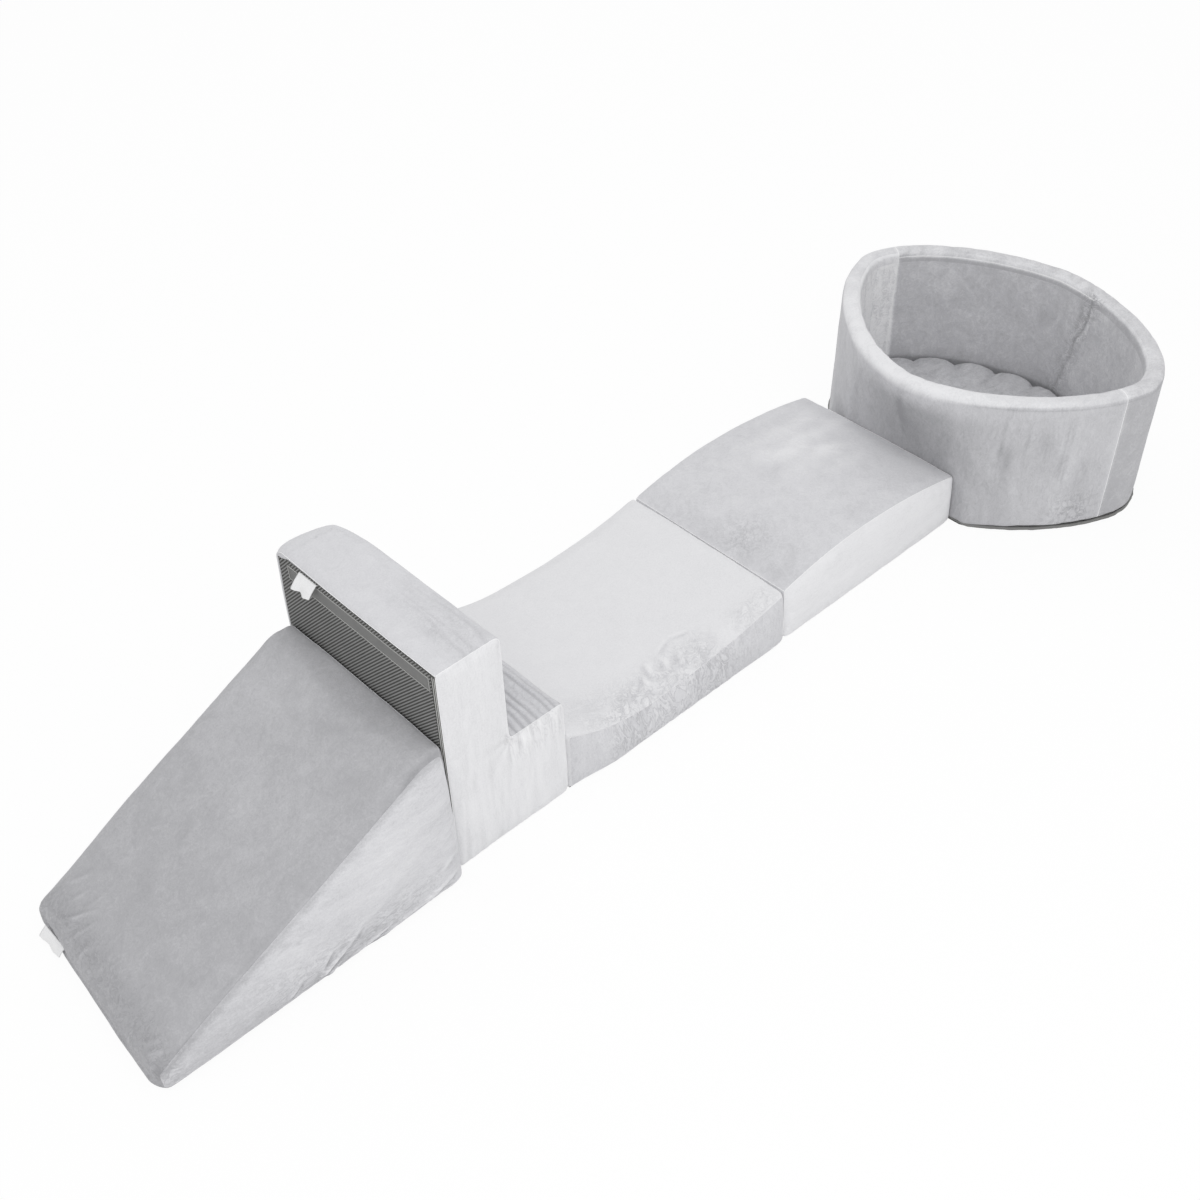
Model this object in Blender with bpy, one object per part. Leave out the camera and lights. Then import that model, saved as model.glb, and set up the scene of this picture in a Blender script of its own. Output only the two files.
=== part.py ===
"""Soft play foam climber: a row of five loose modules that stand end to end on the floor.

A ramp, a two-step stair block stood on its end, a wave block with a dip, a wave block with
a crest, and a soft-walled oval ball pit with a padded floor. Every foam module is a foam
core in a zip-off velvet cover with a non-slip base cloth.

Metres, Z up. X runs along the row from the ramp's low end to the ball pit, Y runs across it.
The origin is on the floor, under the middle of the row's box.
"""

import math

import bmesh
import bpy
from mathutils import Vector

# The foam blocks
BLOCK_WIDTH = 0.550
RAMP_LENGTH = 0.768
RAMP_HEIGHT = 0.409
RAMP_TOE_HEIGHT = 0.055
RAMP_LANDING = 0.062
STAIR_LENGTH = 0.618
STAIR_LOW_STEP = 0.177
STAIR_HIGH_STEP = 0.339
STAIR_HIGH_TREAD = 0.302
DIP_LENGTH = 0.752
DIP_START_HEIGHT = 0.190
DIP_VALLEY_HEIGHT = 0.108
DIP_VALLEY_PLACE = 0.285
WAVE_JOIN_HEIGHT = 0.162
CREST_LENGTH = 0.702
CREST_PEAK_HEIGHT = 0.200
CREST_PEAK_PLACE = 0.300
CREST_END_HEIGHT = 0.150

# Roundings of the foam blocks' profiles and of their side edges
FOOT_ROUNDING = 0.010
TOE_ROUNDING = 0.034
SLOPE_ROUNDING = 0.110
RAMP_BACK_ROUNDING = 0.020
STEP_ROUNDING = 0.018
STEP_CORNER_ROUNDING = 0.012
WAVE_END_ROUNDING = 0.012
SIDE_EDGE_ROUNDING = 0.006

# Cloth, and the clearances that parts keep from each other
CLOTH_THICKNESS = 0.0018
FIT_GAP = 0.0003
BUTT_GAP = 0.0005
HEM_WIDTH = 0.008
CUT_OVERRUN = 0.004

# The zip in a base cloth, under its cover strip
ZIP_FROM_BLOCK_END = 0.040
ZIP_FROM_BLOCK_SIDE = 0.022
ZIP_STRIP_WIDTH = 0.042
ZIP_STRIP_THICKNESS = 0.0008
ZIP_TAPE_REACH = 0.025
ZIP_TAPE_THICKNESS = 0.0008
ZIP_COIL_WIDTH = 0.0028
ZIP_COIL_THICKNESS = 0.0020
ZIP_COIL_PARTING = 0.0012
SLIDER_LENGTH = 0.012
SLIDER_WIDTH = 0.010
SLIDER_PLATE = 0.0008
SLIDER_POST = 0.0006
SLIDER_END_ROOM = 0.006
ZIP_POCKET_MARGIN = 0.001

# The bare satin labels
LABEL_THICKNESS = 0.0010
END_LABEL_LENGTH = 0.086
END_LABEL_DEPTH = 0.026
END_LABEL_RISE = 0.010
END_LABEL_FROM_MIDDLE = 0.187
END_LABEL_TILT = math.radians(52)
SIDE_LABEL_LENGTH = 0.061
SIDE_LABEL_DEPTH = 0.041
SIDE_LABEL_BELOW_ROUNDING = 0.001
SIDE_LABEL_FROM_MIDDLE = 0.170
SIDE_LABEL_TILT = math.radians(41)

# The ball pit
PIT_LENGTH = 0.798
PIT_WIDTH = 1.008
PIT_HEIGHT = 0.421
PIT_SWEEP = 0.052
PIT_ROUNDNESS = 1.68
PIT_OVERHANG = 0.062
PIT_WALL = 0.055
PIT_RIM_ROUNDING = 0.018
PIT_PRESSED_HEIGHT = 0.170
PIT_BASE_PROUD = 0.002
BLOCKS_FROM_PIT_MIDDLE = 0.105

# The ball pit's floor pad
PAD_HEIGHT = 0.072
PAD_CLEARANCE = 0.006
PAD_SCALLOP_DEPTH = 0.011
PAD_PLEAT_DEPTH = 0.010
PAD_TUFT_DEPTH = 0.009
PAD_ZIP_LENGTH = 0.420

# Counts of steps, and shares of the pad's reach and height
ARC_STEP = math.radians(24)
EDGE_STEPS = 1
WAVE_STEPS = 12
PIT_STEPS = 48
PIT_SEAM_STEPS = (11, 35)
RIM_STEPS = 3
WALL_LEAN_STEPS = 3
OVAL_FINENESS = 16
PAD_SCALLOPS = 18
PAD_STEPS_PER_SCALLOP = 3
PAD_SCALLOPS_PER_TUFT = 3
PAD_SIDE_SHARES = ((0.955, 0.0), (1.0, 0.34), (0.985, 0.68), (0.93, 0.88))
PAD_TOP_SHARES = ((0.82, 0.97), (0.66, 1.0), (0.48, 0.98), (0.30, 1.0), (0.14, 1.0))
PAD_TUFT_SHARE = 0.48
PAD_CLOTH_SHARE = 0.93

# Places along the row, worked out from the sizes above
LABEL_OUT = (FIT_GAP + END_LABEL_DEPTH * math.sin(END_LABEL_TILT)
             + LABEL_THICKNESS * math.cos(END_LABEL_TILT))
BLOCKS_LENGTH = RAMP_LENGTH + STAIR_HIGH_STEP + DIP_LENGTH + CREST_LENGTH + 3 * BUTT_GAP
STAIR_FROM_RAMP = RAMP_LENGTH + BUTT_GAP
DIP_FROM_RAMP = STAIR_FROM_RAMP + STAIR_HIGH_STEP + BUTT_GAP
CREST_FROM_RAMP = DIP_FROM_RAMP + DIP_LENGTH + BUTT_GAP
PIT_MIDDLE_FROM_RAMP = BLOCKS_LENGTH - PIT_OVERHANG + PIT_LENGTH / 2
CORE_INSET = CLOTH_THICKNESS + FIT_GAP
MODEL_NAME = "soft_play_foam_climber"

for old in list(bpy.data.objects):
    bpy.data.objects.remove(old, do_unlink=True)

PARTS = bpy.data.collections.new(MODEL_NAME)
CUTTERS = bpy.data.collections.new(MODEL_NAME + "_cutters")
bpy.context.scene.collection.children.link(PARTS)
bpy.context.scene.collection.children.link(CUTTERS)


# Finishes

def linear(channel):
    """One sRGB channel from 0 to 255 as a linear value."""
    value = channel / 255
    if value <= 0.04045:
        return value / 12.92
    return ((value + 0.055) / 1.055) ** 2.4


def finish(name, red, green, blue, roughness, metallic=0.0):
    """A plain Principled material from an sRGB colour."""
    material = bpy.data.materials.new(name)
    material.use_nodes = True
    shader = material.node_tree.nodes["Principled BSDF"]
    colour = (linear(red), linear(green), linear(blue), 1.0)
    shader.inputs["Base Color"].default_value = colour
    shader.inputs["Roughness"].default_value = roughness
    shader.inputs["Metallic"].default_value = metallic
    material.diffuse_color = colour
    return material


def finish_of(kind):
    """The finish for one kind of piece, made once for each piece that has it."""
    looks = {
        "ramp_velvet": (190, 190, 193, 0.95),
        "velvet": (214, 214, 217, 0.95),
        "pit_velvet": (200, 200, 203, 0.95),
        "pad_velvet": (178, 178, 181, 0.95),
        "foam": (236, 231, 214, 0.90),
        "base_cloth": (112, 112, 110, 0.88),
        "zip_strip": (104, 104, 102, 0.80),
        "zip_tape": (84, 84, 84, 0.82),
        "slider_metal": (176, 176, 178, 0.35, 1.0),
        "satin": (240, 240, 240, 0.45),
    }
    return finish(kind, *looks[kind])


# Outlines

def filleted(corners):
    """A closed outline from (x, z, rounding) corners, with an arc where a corner is rounded."""
    outline = []
    for index, (x, z, rounding) in enumerate(corners):
        here = Vector((x, z))
        back = (Vector(corners[index - 1][:2]) - here).normalized()
        ahead = (Vector(corners[(index + 1) % len(corners)][:2]) - here).normalized()
        opening = back.angle(ahead)
        if not rounding or opening > math.pi - ARC_STEP / 2:
            outline.append(here)
            continue
        turn = math.pi - opening
        centre = here + (back + ahead).normalized() * rounding / math.sin(opening / 2)
        start = here + back * rounding / math.tan(opening / 2) - centre
        side = 1 if back.x * ahead.y - back.y * ahead.x < 0 else -1
        steps = max(2, math.ceil(turn / ARC_STEP))
        for step in range(steps + 1):
            angle = side * turn * step / steps
            swung = Vector((start.x * math.cos(angle) - start.y * math.sin(angle),
                            start.x * math.sin(angle) + start.y * math.cos(angle)))
            outline.append(centre + swung)
    return outline


def inset(outline, depth):
    """The outline drawn in by a depth. It runs counter-clockwise."""
    drawn = []
    for index, here in enumerate(outline):
        along = (here - outline[index - 1]).normalized()
        onward = (outline[(index + 1) % len(outline)] - here).normalized()
        normal = Vector((-along.y, along.x))
        next_normal = Vector((-onward.y, onward.x))
        drawn.append(here + (normal + next_normal) * depth / (1 + normal.dot(next_normal)))
    return drawn


def ramp_outline():
    """The wedge: a low round toe, a straight slope and a short landing at the back."""
    return filleted([
        (0, 0, FOOT_ROUNDING),
        (RAMP_LENGTH, 0, FOOT_ROUNDING),
        (RAMP_LENGTH, RAMP_HEIGHT, RAMP_BACK_ROUNDING),
        (RAMP_LENGTH - RAMP_LANDING, RAMP_HEIGHT, SLOPE_ROUNDING),
        (0, RAMP_TOE_HEIGHT, TOE_ROUNDING),
    ])


def stair_outline():
    """Two steps, as the block lies on its base: the high tread first, then the low one."""
    return filleted([
        (0, 0, FOOT_ROUNDING),
        (STAIR_LENGTH, 0, FOOT_ROUNDING),
        (STAIR_LENGTH, STAIR_LOW_STEP, STEP_ROUNDING),
        (STAIR_HIGH_TREAD, STAIR_LOW_STEP, STEP_CORNER_ROUNDING),
        (STAIR_HIGH_TREAD, STAIR_HIGH_STEP, STEP_ROUNDING),
        (0, STAIR_HIGH_STEP, STEP_ROUNDING),
    ])


def wave_outline(length, start_height, turn_place, turn_height, end_height):
    """A block whose top swings from one end height through a valley or a peak to the other."""
    top = []
    for step in range(WAVE_STEPS, -1, -1):
        x = length * step / WAVE_STEPS
        if x < turn_place:
            share = ((turn_place - x) / turn_place) ** 2
            height = turn_height + (start_height - turn_height) * share
        else:
            share = ((x - turn_place) / (length - turn_place)) ** 2
            height = turn_height + (end_height - turn_height) * share
        rounding = WAVE_END_ROUNDING if step in (0, WAVE_STEPS) else 0
        top.append((x, height, rounding))
    return filleted([(0, 0, FOOT_ROUNDING), (length, 0, FOOT_ROUNDING)] + top)


# Solids

def keep(name, mesh, kind, module, collection=PARTS):
    """A named object with its own finish, under its module's empty."""
    piece = bpy.data.objects.new(name, mesh)
    collection.objects.link(piece)
    piece.parent = module
    if kind:
        mesh.materials.clear()
        mesh.materials.append(finish_of(kind))
    else:
        piece.hide_render = True
        piece.display_type = "WIRE"
    return piece


def closed_mesh(name, mesh):
    """Welds a mesh's doubles and turns its faces outward."""
    work = bmesh.new()
    work.from_mesh(mesh)
    bmesh.ops.remove_doubles(work, verts=work.verts, dist=FIT_GAP / 10)
    bmesh.ops.recalc_face_normals(work, faces=work.faces)
    work.to_mesh(mesh)
    work.free()
    mesh.name = name
    return mesh


def drawn_solid(name, outline, half_depth, rounding, kind, module, upright=True):
    """An outline given depth both ways, with its rims rounded, as a mesh.

    Upright, the outline lies in X and Z and the depth is across the block. Flat, it lies
    in X and Y and the depth is the height.
    """
    curve = bpy.data.curves.new(name, "CURVE")
    curve.dimensions = "2D"
    curve.fill_mode = "BOTH"
    curve.extrude = half_depth - rounding
    curve.bevel_depth = rounding
    curve.bevel_resolution = EDGE_STEPS
    spline = curve.splines.new("POLY")
    spline.points.add(len(outline) - 1)
    for point, (u, v) in zip(spline.points, outline):
        point.co = (u, v, 0, 1)
    spline.use_cyclic_u = True
    holder = bpy.data.objects.new(name + "_outline", curve)
    PARTS.objects.link(holder)
    holder.parent = module
    if upright:
        holder.rotation_euler.x = math.pi / 2
    bpy.context.view_layer.update()
    shape = bpy.context.evaluated_depsgraph_get()
    mesh = bpy.data.meshes.new_from_object(holder.evaluated_get(shape))
    collection = PARTS if kind else CUTTERS
    piece = keep(name, closed_mesh(name, mesh), kind, module, collection)
    piece.matrix_world = holder.matrix_world.copy()
    bpy.data.objects.remove(holder, do_unlink=True)
    bpy.data.curves.remove(curve)
    return piece


def box(name, low, high, kind, module):
    """A box between two corners."""
    work = bmesh.new()
    bmesh.ops.create_cube(work, size=1)
    size = Vector(high) - Vector(low)
    middle = (Vector(high) + Vector(low)) / 2
    for vert in work.verts:
        vert.co = Vector(vert.co[axis] * size[axis] + middle[axis] for axis in range(3))
    mesh = bpy.data.meshes.new(name)
    work.to_mesh(mesh)
    work.free()
    return keep(name, mesh, kind, module, PARTS if kind else CUTTERS)


def cut(piece, cutter):
    """Takes the cutter's shape out of the piece."""
    hole = piece.modifiers.new("cut_" + cutter.name, "BOOLEAN")
    hole.operation = "DIFFERENCE"
    hole.object = cutter
    hole.solver = "EXACT"


def bridge(work, row, following, returning_from=None):
    """Joins two closed rows of points with pairs of triangles.

    Skins that lie inside each other split their bent four-sided cells along the same
    diagonal, so that their gap stays even. A ring that comes back along its own profile
    tells from which point on it returns.
    """
    for index in range(len(row)):
        a, b, c, d = row[index - 1], row[index], following[index], following[index - 1]
        if returning_from is not None and index > returning_from:
            work.faces.new((a, b, d))
            work.faces.new((b, c, d))
        else:
            work.faces.new((a, b, c))
            work.faces.new((a, c, d))


def meshed(name, work, kind, module):
    """Turns a mesh's faces outward and keeps it as an object."""
    bmesh.ops.recalc_face_normals(work, faces=work.faces)
    mesh = bpy.data.meshes.new(name)
    work.to_mesh(mesh)
    work.free()
    return keep(name, mesh, kind, module)


def loft(name, rings, kind, module, returning_from=None):
    """A skin over closed rings: a hoop where they return on themselves, else with flat ends."""
    work = bmesh.new()
    rows = [[work.verts.new(place) for place in ring] for ring in rings]
    for row, following in zip(rows, rows[1:]):
        bridge(work, row, following, returning_from)
    if returning_from is None:
        work.faces.new(rows[0])
        work.faces.new(rows[-1])
    else:
        bridge(work, rows[-1], rows[0], returning_from)
    return meshed(name, work, kind, module)


def smooth_rounds(piece):
    """Shades rounded edges smooth and keeps flat faces flat."""
    piece.data.shade_smooth()
    piece.data.set_sharp_from_angle(angle=2 * ARC_STEP)


def module_frame(name, x, y=0.0, turn=(0.0, 0.0, 0.0)):
    """An empty that carries one module's pieces."""
    frame = bpy.data.objects.new(name, None)
    PARTS.objects.link(frame)
    frame.location = (x, y, 0)
    frame.rotation_euler = turn
    return frame


# The zip, which is the same in every base cloth

def zip_tape_profile(side):
    """Half a zip's cross-section: the coil beside the parting and its tape on the cloth."""
    inner = ZIP_COIL_PARTING / 2
    outer = inner + ZIP_COIL_WIDTH
    low = CLOTH_THICKNESS + FIT_GAP
    profile = [
        (inner, low),
        (ZIP_TAPE_REACH, low),
        (ZIP_TAPE_REACH, low + ZIP_TAPE_THICKNESS),
        (outer, low + ZIP_TAPE_THICKNESS),
        (outer, low + ZIP_COIL_THICKNESS),
        (inner, low + ZIP_COIL_THICKNESS),
    ]
    mirrored = [(side * x, z) for x, z in profile]
    return mirrored if side > 0 else mirrored[::-1]


def slider_profile():
    """The slider seen along the zip: two plates joined by the post between the coils."""
    half = SLIDER_WIDTH / 2
    post = SLIDER_POST / 2
    low = CLOTH_THICKNESS
    high = CLOTH_THICKNESS + ZIP_COIL_THICKNESS + 2 * FIT_GAP
    bottom = low - SLIDER_PLATE
    top = high + SLIDER_PLATE
    right = [(half, bottom), (half, low), (post, low), (post, high), (half, high), (half, top)]
    left = [(-x, z) for x, z in reversed(right)]
    return right + left


def zip_top():
    """How high above the base the zip's slider stands."""
    return CLOTH_THICKNESS + ZIP_COIL_THICKNESS + 2 * FIT_GAP + SLIDER_PLATE


def add_zip(stem, module, middle_x, length):
    """A closed zip across the module with its cover strip, and the slider at its near end."""
    at_zip = module_frame(stem + "_zip", middle_x)
    at_zip.parent = module
    half = length / 2
    half_strip = ZIP_STRIP_WIDTH / 2 - FIT_GAP
    box(stem + "_zip_strip", (-half_strip, FIT_GAP - half, 0),
        (half_strip, half - FIT_GAP, ZIP_STRIP_THICKNESS), "zip_strip", at_zip)
    for side, place in ((-1, "front"), (1, "rear")):
        drawn_solid(stem + "_zip_" + place + "_tape", zip_tape_profile(side),
                    half + CUT_OVERRUN, 0, "zip_tape", at_zip)
    slider = drawn_solid(stem + "_zip_slider", slider_profile(), SLIDER_LENGTH / 2, 0,
                         "slider_metal", at_zip)
    slider.location.y = SLIDER_END_ROOM + SLIDER_LENGTH / 2 - half
    return at_zip


def zip_window(stem, module, middle_x, length):
    """The opening that a base cloth keeps for its zip."""
    half_strip = ZIP_STRIP_WIDTH / 2
    return box(stem + "_zip_window", (middle_x - half_strip, -length / 2, -CUT_OVERRUN),
               (middle_x + half_strip, length / 2, CLOTH_THICKNESS + CUT_OVERRUN), None, module)


def zip_pocket(stem, module, middle_x, length):
    """The relief that the filling keeps round a zip."""
    half_x = ZIP_TAPE_REACH + ZIP_POCKET_MARGIN
    half_y = length / 2 + CUT_OVERRUN + ZIP_POCKET_MARGIN
    return box(stem + "_zip_pocket", (middle_x - half_x, -half_y, -CUT_OVERRUN),
               (middle_x + half_x, half_y, zip_top() + ZIP_POCKET_MARGIN), None, module)


# One covered foam block, as it lies on its base

def foam_block(stem, module, outline, length, cover_kind):
    """A foam core, its velvet cover with an open base, the base cloth and the zip."""
    spine = inset(outline, SIDE_EDGE_ROUNDING)
    half_width = BLOCK_WIDTH / 2
    cavity_rounding = SIDE_EDGE_ROUNDING - CLOTH_THICKNESS
    core_rounding = SIDE_EDGE_ROUNDING - CORE_INSET

    cover = drawn_solid(stem + "_cover", spine, half_width, SIDE_EDGE_ROUNDING, cover_kind, module)
    cut(cover, drawn_solid(stem + "_cavity", spine, half_width - CLOTH_THICKNESS,
                           cavity_rounding, None, module))
    cut(cover, box(stem + "_base_opening",
                   (HEM_WIDTH, HEM_WIDTH - half_width, -CUT_OVERRUN),
                   (length - HEM_WIDTH, half_width - HEM_WIDTH, CLOTH_THICKNESS + CUT_OVERRUN),
                   None, module))
    smooth_rounds(cover)

    core = drawn_solid(stem + "_foam_core", spine, half_width - CORE_INSET, core_rounding,
                       "foam", module)
    zip_x = length - ZIP_FROM_BLOCK_END
    zip_length = BLOCK_WIDTH - 2 * ZIP_FROM_BLOCK_SIDE
    cut(core, zip_pocket(stem, module, zip_x, zip_length))

    cloth_edge = HEM_WIDTH + FIT_GAP
    cloth = box(stem + "_base_cloth", (cloth_edge, cloth_edge - half_width, 0),
                (length - cloth_edge, half_width - cloth_edge, CLOTH_THICKNESS),
                "base_cloth", module)
    cut(cloth, zip_window(stem, module, zip_x, zip_length))
    add_zip(stem, module, zip_x, zip_length)


def add_ramp(x):
    """The ramp, with a bare label in the seam of its low end."""
    module = module_frame("ramp", x, BLOCKS_FROM_PIT_MIDDLE)
    foam_block("ramp", module, ramp_outline(), RAMP_LENGTH, "ramp_velvet")
    seam = module_frame("ramp_end_seam", 0, END_LABEL_FROM_MIDDLE, (0, END_LABEL_TILT, 0))
    seam.location.x = -FIT_GAP
    seam.location.z = END_LABEL_RISE + END_LABEL_DEPTH * math.cos(END_LABEL_TILT)
    seam.parent = module
    half = END_LABEL_LENGTH / 2
    box("ramp_end_label", (-LABEL_THICKNESS, -half, -END_LABEL_DEPTH), (0, half, 0),
        "satin", seam)


def add_stair(x):
    """The stair block on its end: its base faces the ramp and its low step's front faces up."""
    module = module_frame("stair", x, BLOCKS_FROM_PIT_MIDDLE, (0, -math.pi / 2, math.pi))
    foam_block("stair", module, stair_outline(), STAIR_LENGTH, "velvet")
    seam = module_frame("stair_top_seam", x - FIT_GAP,
                        BLOCKS_FROM_PIT_MIDDLE + SIDE_LABEL_FROM_MIDDLE, (0, SIDE_LABEL_TILT, 0))
    seam.location.z = STAIR_LENGTH - FOOT_ROUNDING - SIDE_LABEL_BELOW_ROUNDING
    half = SIDE_LABEL_LENGTH / 2
    box("stair_side_label", (-LABEL_THICKNESS, -half, -SIDE_LABEL_DEPTH), (0, half, 0),
        "satin", seam)


def add_waves(dip_x, crest_x):
    """The two wave blocks, which meet at one height."""
    module = module_frame("wave_dip", dip_x, BLOCKS_FROM_PIT_MIDDLE)
    outline = wave_outline(DIP_LENGTH, DIP_START_HEIGHT, DIP_VALLEY_PLACE, DIP_VALLEY_HEIGHT,
                           WAVE_JOIN_HEIGHT)
    foam_block("wave_dip", module, outline, DIP_LENGTH, "velvet")
    module = module_frame("wave_crest", crest_x, BLOCKS_FROM_PIT_MIDDLE)
    outline = wave_outline(CREST_LENGTH, WAVE_JOIN_HEIGHT, CREST_PEAK_PLACE, CREST_PEAK_HEIGHT,
                           CREST_END_HEIGHT)
    foam_block("wave_crest", module, outline, CREST_LENGTH, "velvet")


# The ball pit, about its own middle

PRESSED_X = PIT_OVERHANG + BUTT_GAP - PIT_LENGTH / 2


def oval_point(turn):
    """A point of the wall's free outline: a pointed oval whose two ends sweep back."""
    across = math.cos(turn)
    along = math.sin(turn)
    power = 2 / PIT_ROUNDNESS
    x = PIT_LENGTH / 2 * math.copysign(abs(across) ** power, across)
    y = PIT_WIDTH / 2 * math.copysign(abs(along) ** power, along)
    return Vector((x + PIT_SWEEP * abs(along) ** (2 * power), y))


def oval_places(count):
    """Points at even distances round the free outline, each with its outward direction."""
    fine = OVAL_FINENESS * count
    points = [oval_point(math.tau * step / fine) for step in range(fine)]
    reach = [0.0]
    for index in range(fine):
        reach.append(reach[-1] + (points[(index + 1) % fine] - points[index]).length)
    places = []
    index = 0
    for step in range(count):
        target = reach[-1] * step / count
        while reach[index + 1] <= target:
            index += 1
        share = (target - reach[index]) / (reach[index + 1] - reach[index])
        places.append(points[index].lerp(points[(index + 1) % fine], share))
    outward = []
    for step in range(count):
        along = (places[(step + 1) % count] - places[step - 1]).normalized()
        outward.append(Vector((along.y, -along.x)))
    return list(zip(places, outward))


def wall_place(place, outward, depth, height):
    """A point of the wall at a depth from its outer face, pressed in by the wave's end."""
    pressed = Vector((max(place.x, PRESSED_X), place.y))
    rise = (height - PIT_PRESSED_HEIGHT) / (PIT_HEIGHT - PIT_PRESSED_HEIGHT)
    share = min(max(rise, 0.0), 1.0)
    share = share * share * (3 - 2 * share)
    face = pressed.lerp(place, share)
    point = face - outward * depth
    return Vector((point.x, point.y, height))


def wall_profile(margin, foot):
    """The wall's section drawn in by a margin: up the outside, over the rim, down inside."""
    heights = [foot, PIT_PRESSED_HEIGHT]
    shoulder = PIT_HEIGHT - PIT_RIM_ROUNDING
    for step in range(1, WALL_LEAN_STEPS):
        share = step / WALL_LEAN_STEPS
        heights.append(PIT_PRESSED_HEIGHT + (shoulder - PIT_PRESSED_HEIGHT) * share)
    rounding = PIT_RIM_ROUNDING - margin
    outer = [(margin, height) for height in heights]
    for step in range(RIM_STEPS + 1):
        angle = math.pi / 2 * step / RIM_STEPS
        outer.append((PIT_RIM_ROUNDING - rounding * math.cos(angle),
                      shoulder + rounding * math.sin(angle)))
    inner = [(PIT_WALL - depth, height) for depth, height in reversed(outer)]
    return outer + inner


def wall_sections(profile, places):
    """The profile stood up at each place round the oval."""
    return [[wall_place(place, outward, depth, height) for depth, height in profile]
            for place, outward in places]


def add_foam_halves(module, places):
    """The wall's foam: two bent strips whose ends butt at the cover's end seams."""
    sections = wall_sections(wall_profile(CORE_INSET, CLOTH_THICKNESS + FIT_GAP), places)
    far, near = PIT_SEAM_STEPS
    stretches = (("left", far, near), ("right", near, far + PIT_STEPS))
    for place, first, last in stretches:
        run = [sections[step % PIT_STEPS] for step in range(first, last + 1)]
        share = FIT_GAP / 2 / (run[1][0] - run[0][0]).length
        run[0] = [a.lerp(b, share) for a, b in zip(run[0], run[1])]
        share = FIT_GAP / 2 / (run[-2][0] - run[-1][0]).length
        run[-1] = [a.lerp(b, share) for a, b in zip(run[-1], run[-2])]
        loft("pit_" + place + "_foam", run, "foam", module)


def pad_edge(place, outward):
    """The floor pad's edge beside the wall's inner face."""
    point = wall_place(place, outward, PIT_WALL + PAD_CLEARANCE, 0)
    return Vector((point.x, point.y))


def pad_rings(places, margin, foot):
    """The pad's rings from its foot to its crown, drawn in by a margin.

    Scallops pinch the edge, pleats run in from them, and a ring of tufts dips the top.
    """
    tuft_step = PAD_STEPS_PER_SCALLOP * PAD_SCALLOPS_PER_TUFT
    edges = [pad_edge(place, outward) for place, outward in places]
    rings = []
    for share, height_share in PAD_SIDE_SHARES + PAD_TOP_SHARES:
        ring = []
        for step, edge in enumerate(edges):
            pinch = step % PAD_STEPS_PER_SCALLOP == 0
            reach = edge.length * share - margin
            height = PAD_HEIGHT * height_share
            if pinch and height_share:
                reach -= PAD_SCALLOP_DEPTH * share
                height -= PAD_PLEAT_DEPTH * share
            if share == PAD_TUFT_SHARE and step % tuft_step == 0:
                height -= PAD_TUFT_DEPTH
            height = max(height - margin, foot) if height_share else foot
            spot = edge.normalized() * reach
            ring.append(Vector((spot.x, spot.y, height)))
        rings.append(ring)
    return rings


def pad_skin(work, rings, crown):
    """Adds the rings' faces to a mesh, closed by a fan at the crown."""
    rows = [[work.verts.new(place) for place in ring] for ring in rings]
    for row, following in zip(rows, rows[1:]):
        bridge(work, row, following)
    top = work.verts.new(crown)
    for index in range(len(rows[-1])):
        work.faces.new((rows[-1][index - 1], rows[-1][index], top))
    return rows[0]


def add_floor_pad(x):
    """The tufted floor pad: a cover open below, its filling, its base cloth and its zip."""
    module = module_frame("floor_pad", x)
    module.location.z = CLOTH_THICKNESS + FIT_GAP
    places = oval_places(PAD_SCALLOPS * PAD_STEPS_PER_SCALLOP)

    work = bmesh.new()
    outer = pad_skin(work, pad_rings(places, 0, 0), (0, 0, PAD_HEIGHT))
    inner = pad_skin(work, pad_rings(places, CLOTH_THICKNESS, 0),
                     (0, 0, PAD_HEIGHT - CLOTH_THICKNESS))
    for index in range(len(outer)):
        work.faces.new((outer[index - 1], outer[index], inner[index], inner[index - 1]))
    smooth_rounds(meshed("floor_pad_cover", work, "pad_velvet", module))

    work = bmesh.new()
    rings = pad_rings(places, CORE_INSET, CORE_INSET)
    work.faces.new(pad_skin(work, rings, (0, 0, PAD_HEIGHT - CORE_INSET)))
    filling = meshed("floor_pad_filling", work, "foam", module)
    cut(filling, zip_pocket("floor_pad", module, 0, PAD_ZIP_LENGTH))

    outline = [pad_edge(place, outward) * PAD_CLOTH_SHARE for place, outward in places]
    cloth = drawn_solid("floor_pad_base_cloth", outline, CLOTH_THICKNESS / 2, 0, "base_cloth",
                        module, upright=False)
    cloth.location.z = CLOTH_THICKNESS / 2
    cut(cloth, zip_window("floor_pad", module, 0, PAD_ZIP_LENGTH))
    add_zip("floor_pad", module, 0, PAD_ZIP_LENGTH)


def add_pit(x):
    """The ball pit's foam wall in its cover, on one base cloth."""
    module = module_frame("pit", x)
    places = oval_places(PIT_STEPS)
    foot = CLOTH_THICKNESS + FIT_GAP
    outside = wall_profile(0, foot)
    inside = wall_profile(CLOTH_THICKNESS, foot)
    cover = loft("pit_cover", wall_sections(outside + inside[::-1], places), "pit_velvet",
                 module, returning_from=len(outside))
    smooth_rounds(cover)
    add_foam_halves(module, places)
    outline = []
    for place, outward in places:
        point = wall_place(place, outward, -PIT_BASE_PROUD, 0)
        outline.append((max(point.x, PRESSED_X), point.y))
    base = drawn_solid("pit_base_cloth", outline, CLOTH_THICKNESS / 2, 0, "base_cloth",
                       module, upright=False)
    base.location.z = CLOTH_THICKNESS / 2


def row_start():
    """The ramp's low end, placed so that the whole row is centred on the origin."""
    pit_reach = max(place.x for place, outward in oval_places(PIT_STEPS)) + PIT_BASE_PROUD
    return (LABEL_OUT - PIT_MIDDLE_FROM_RAMP - pit_reach) / 2


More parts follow.
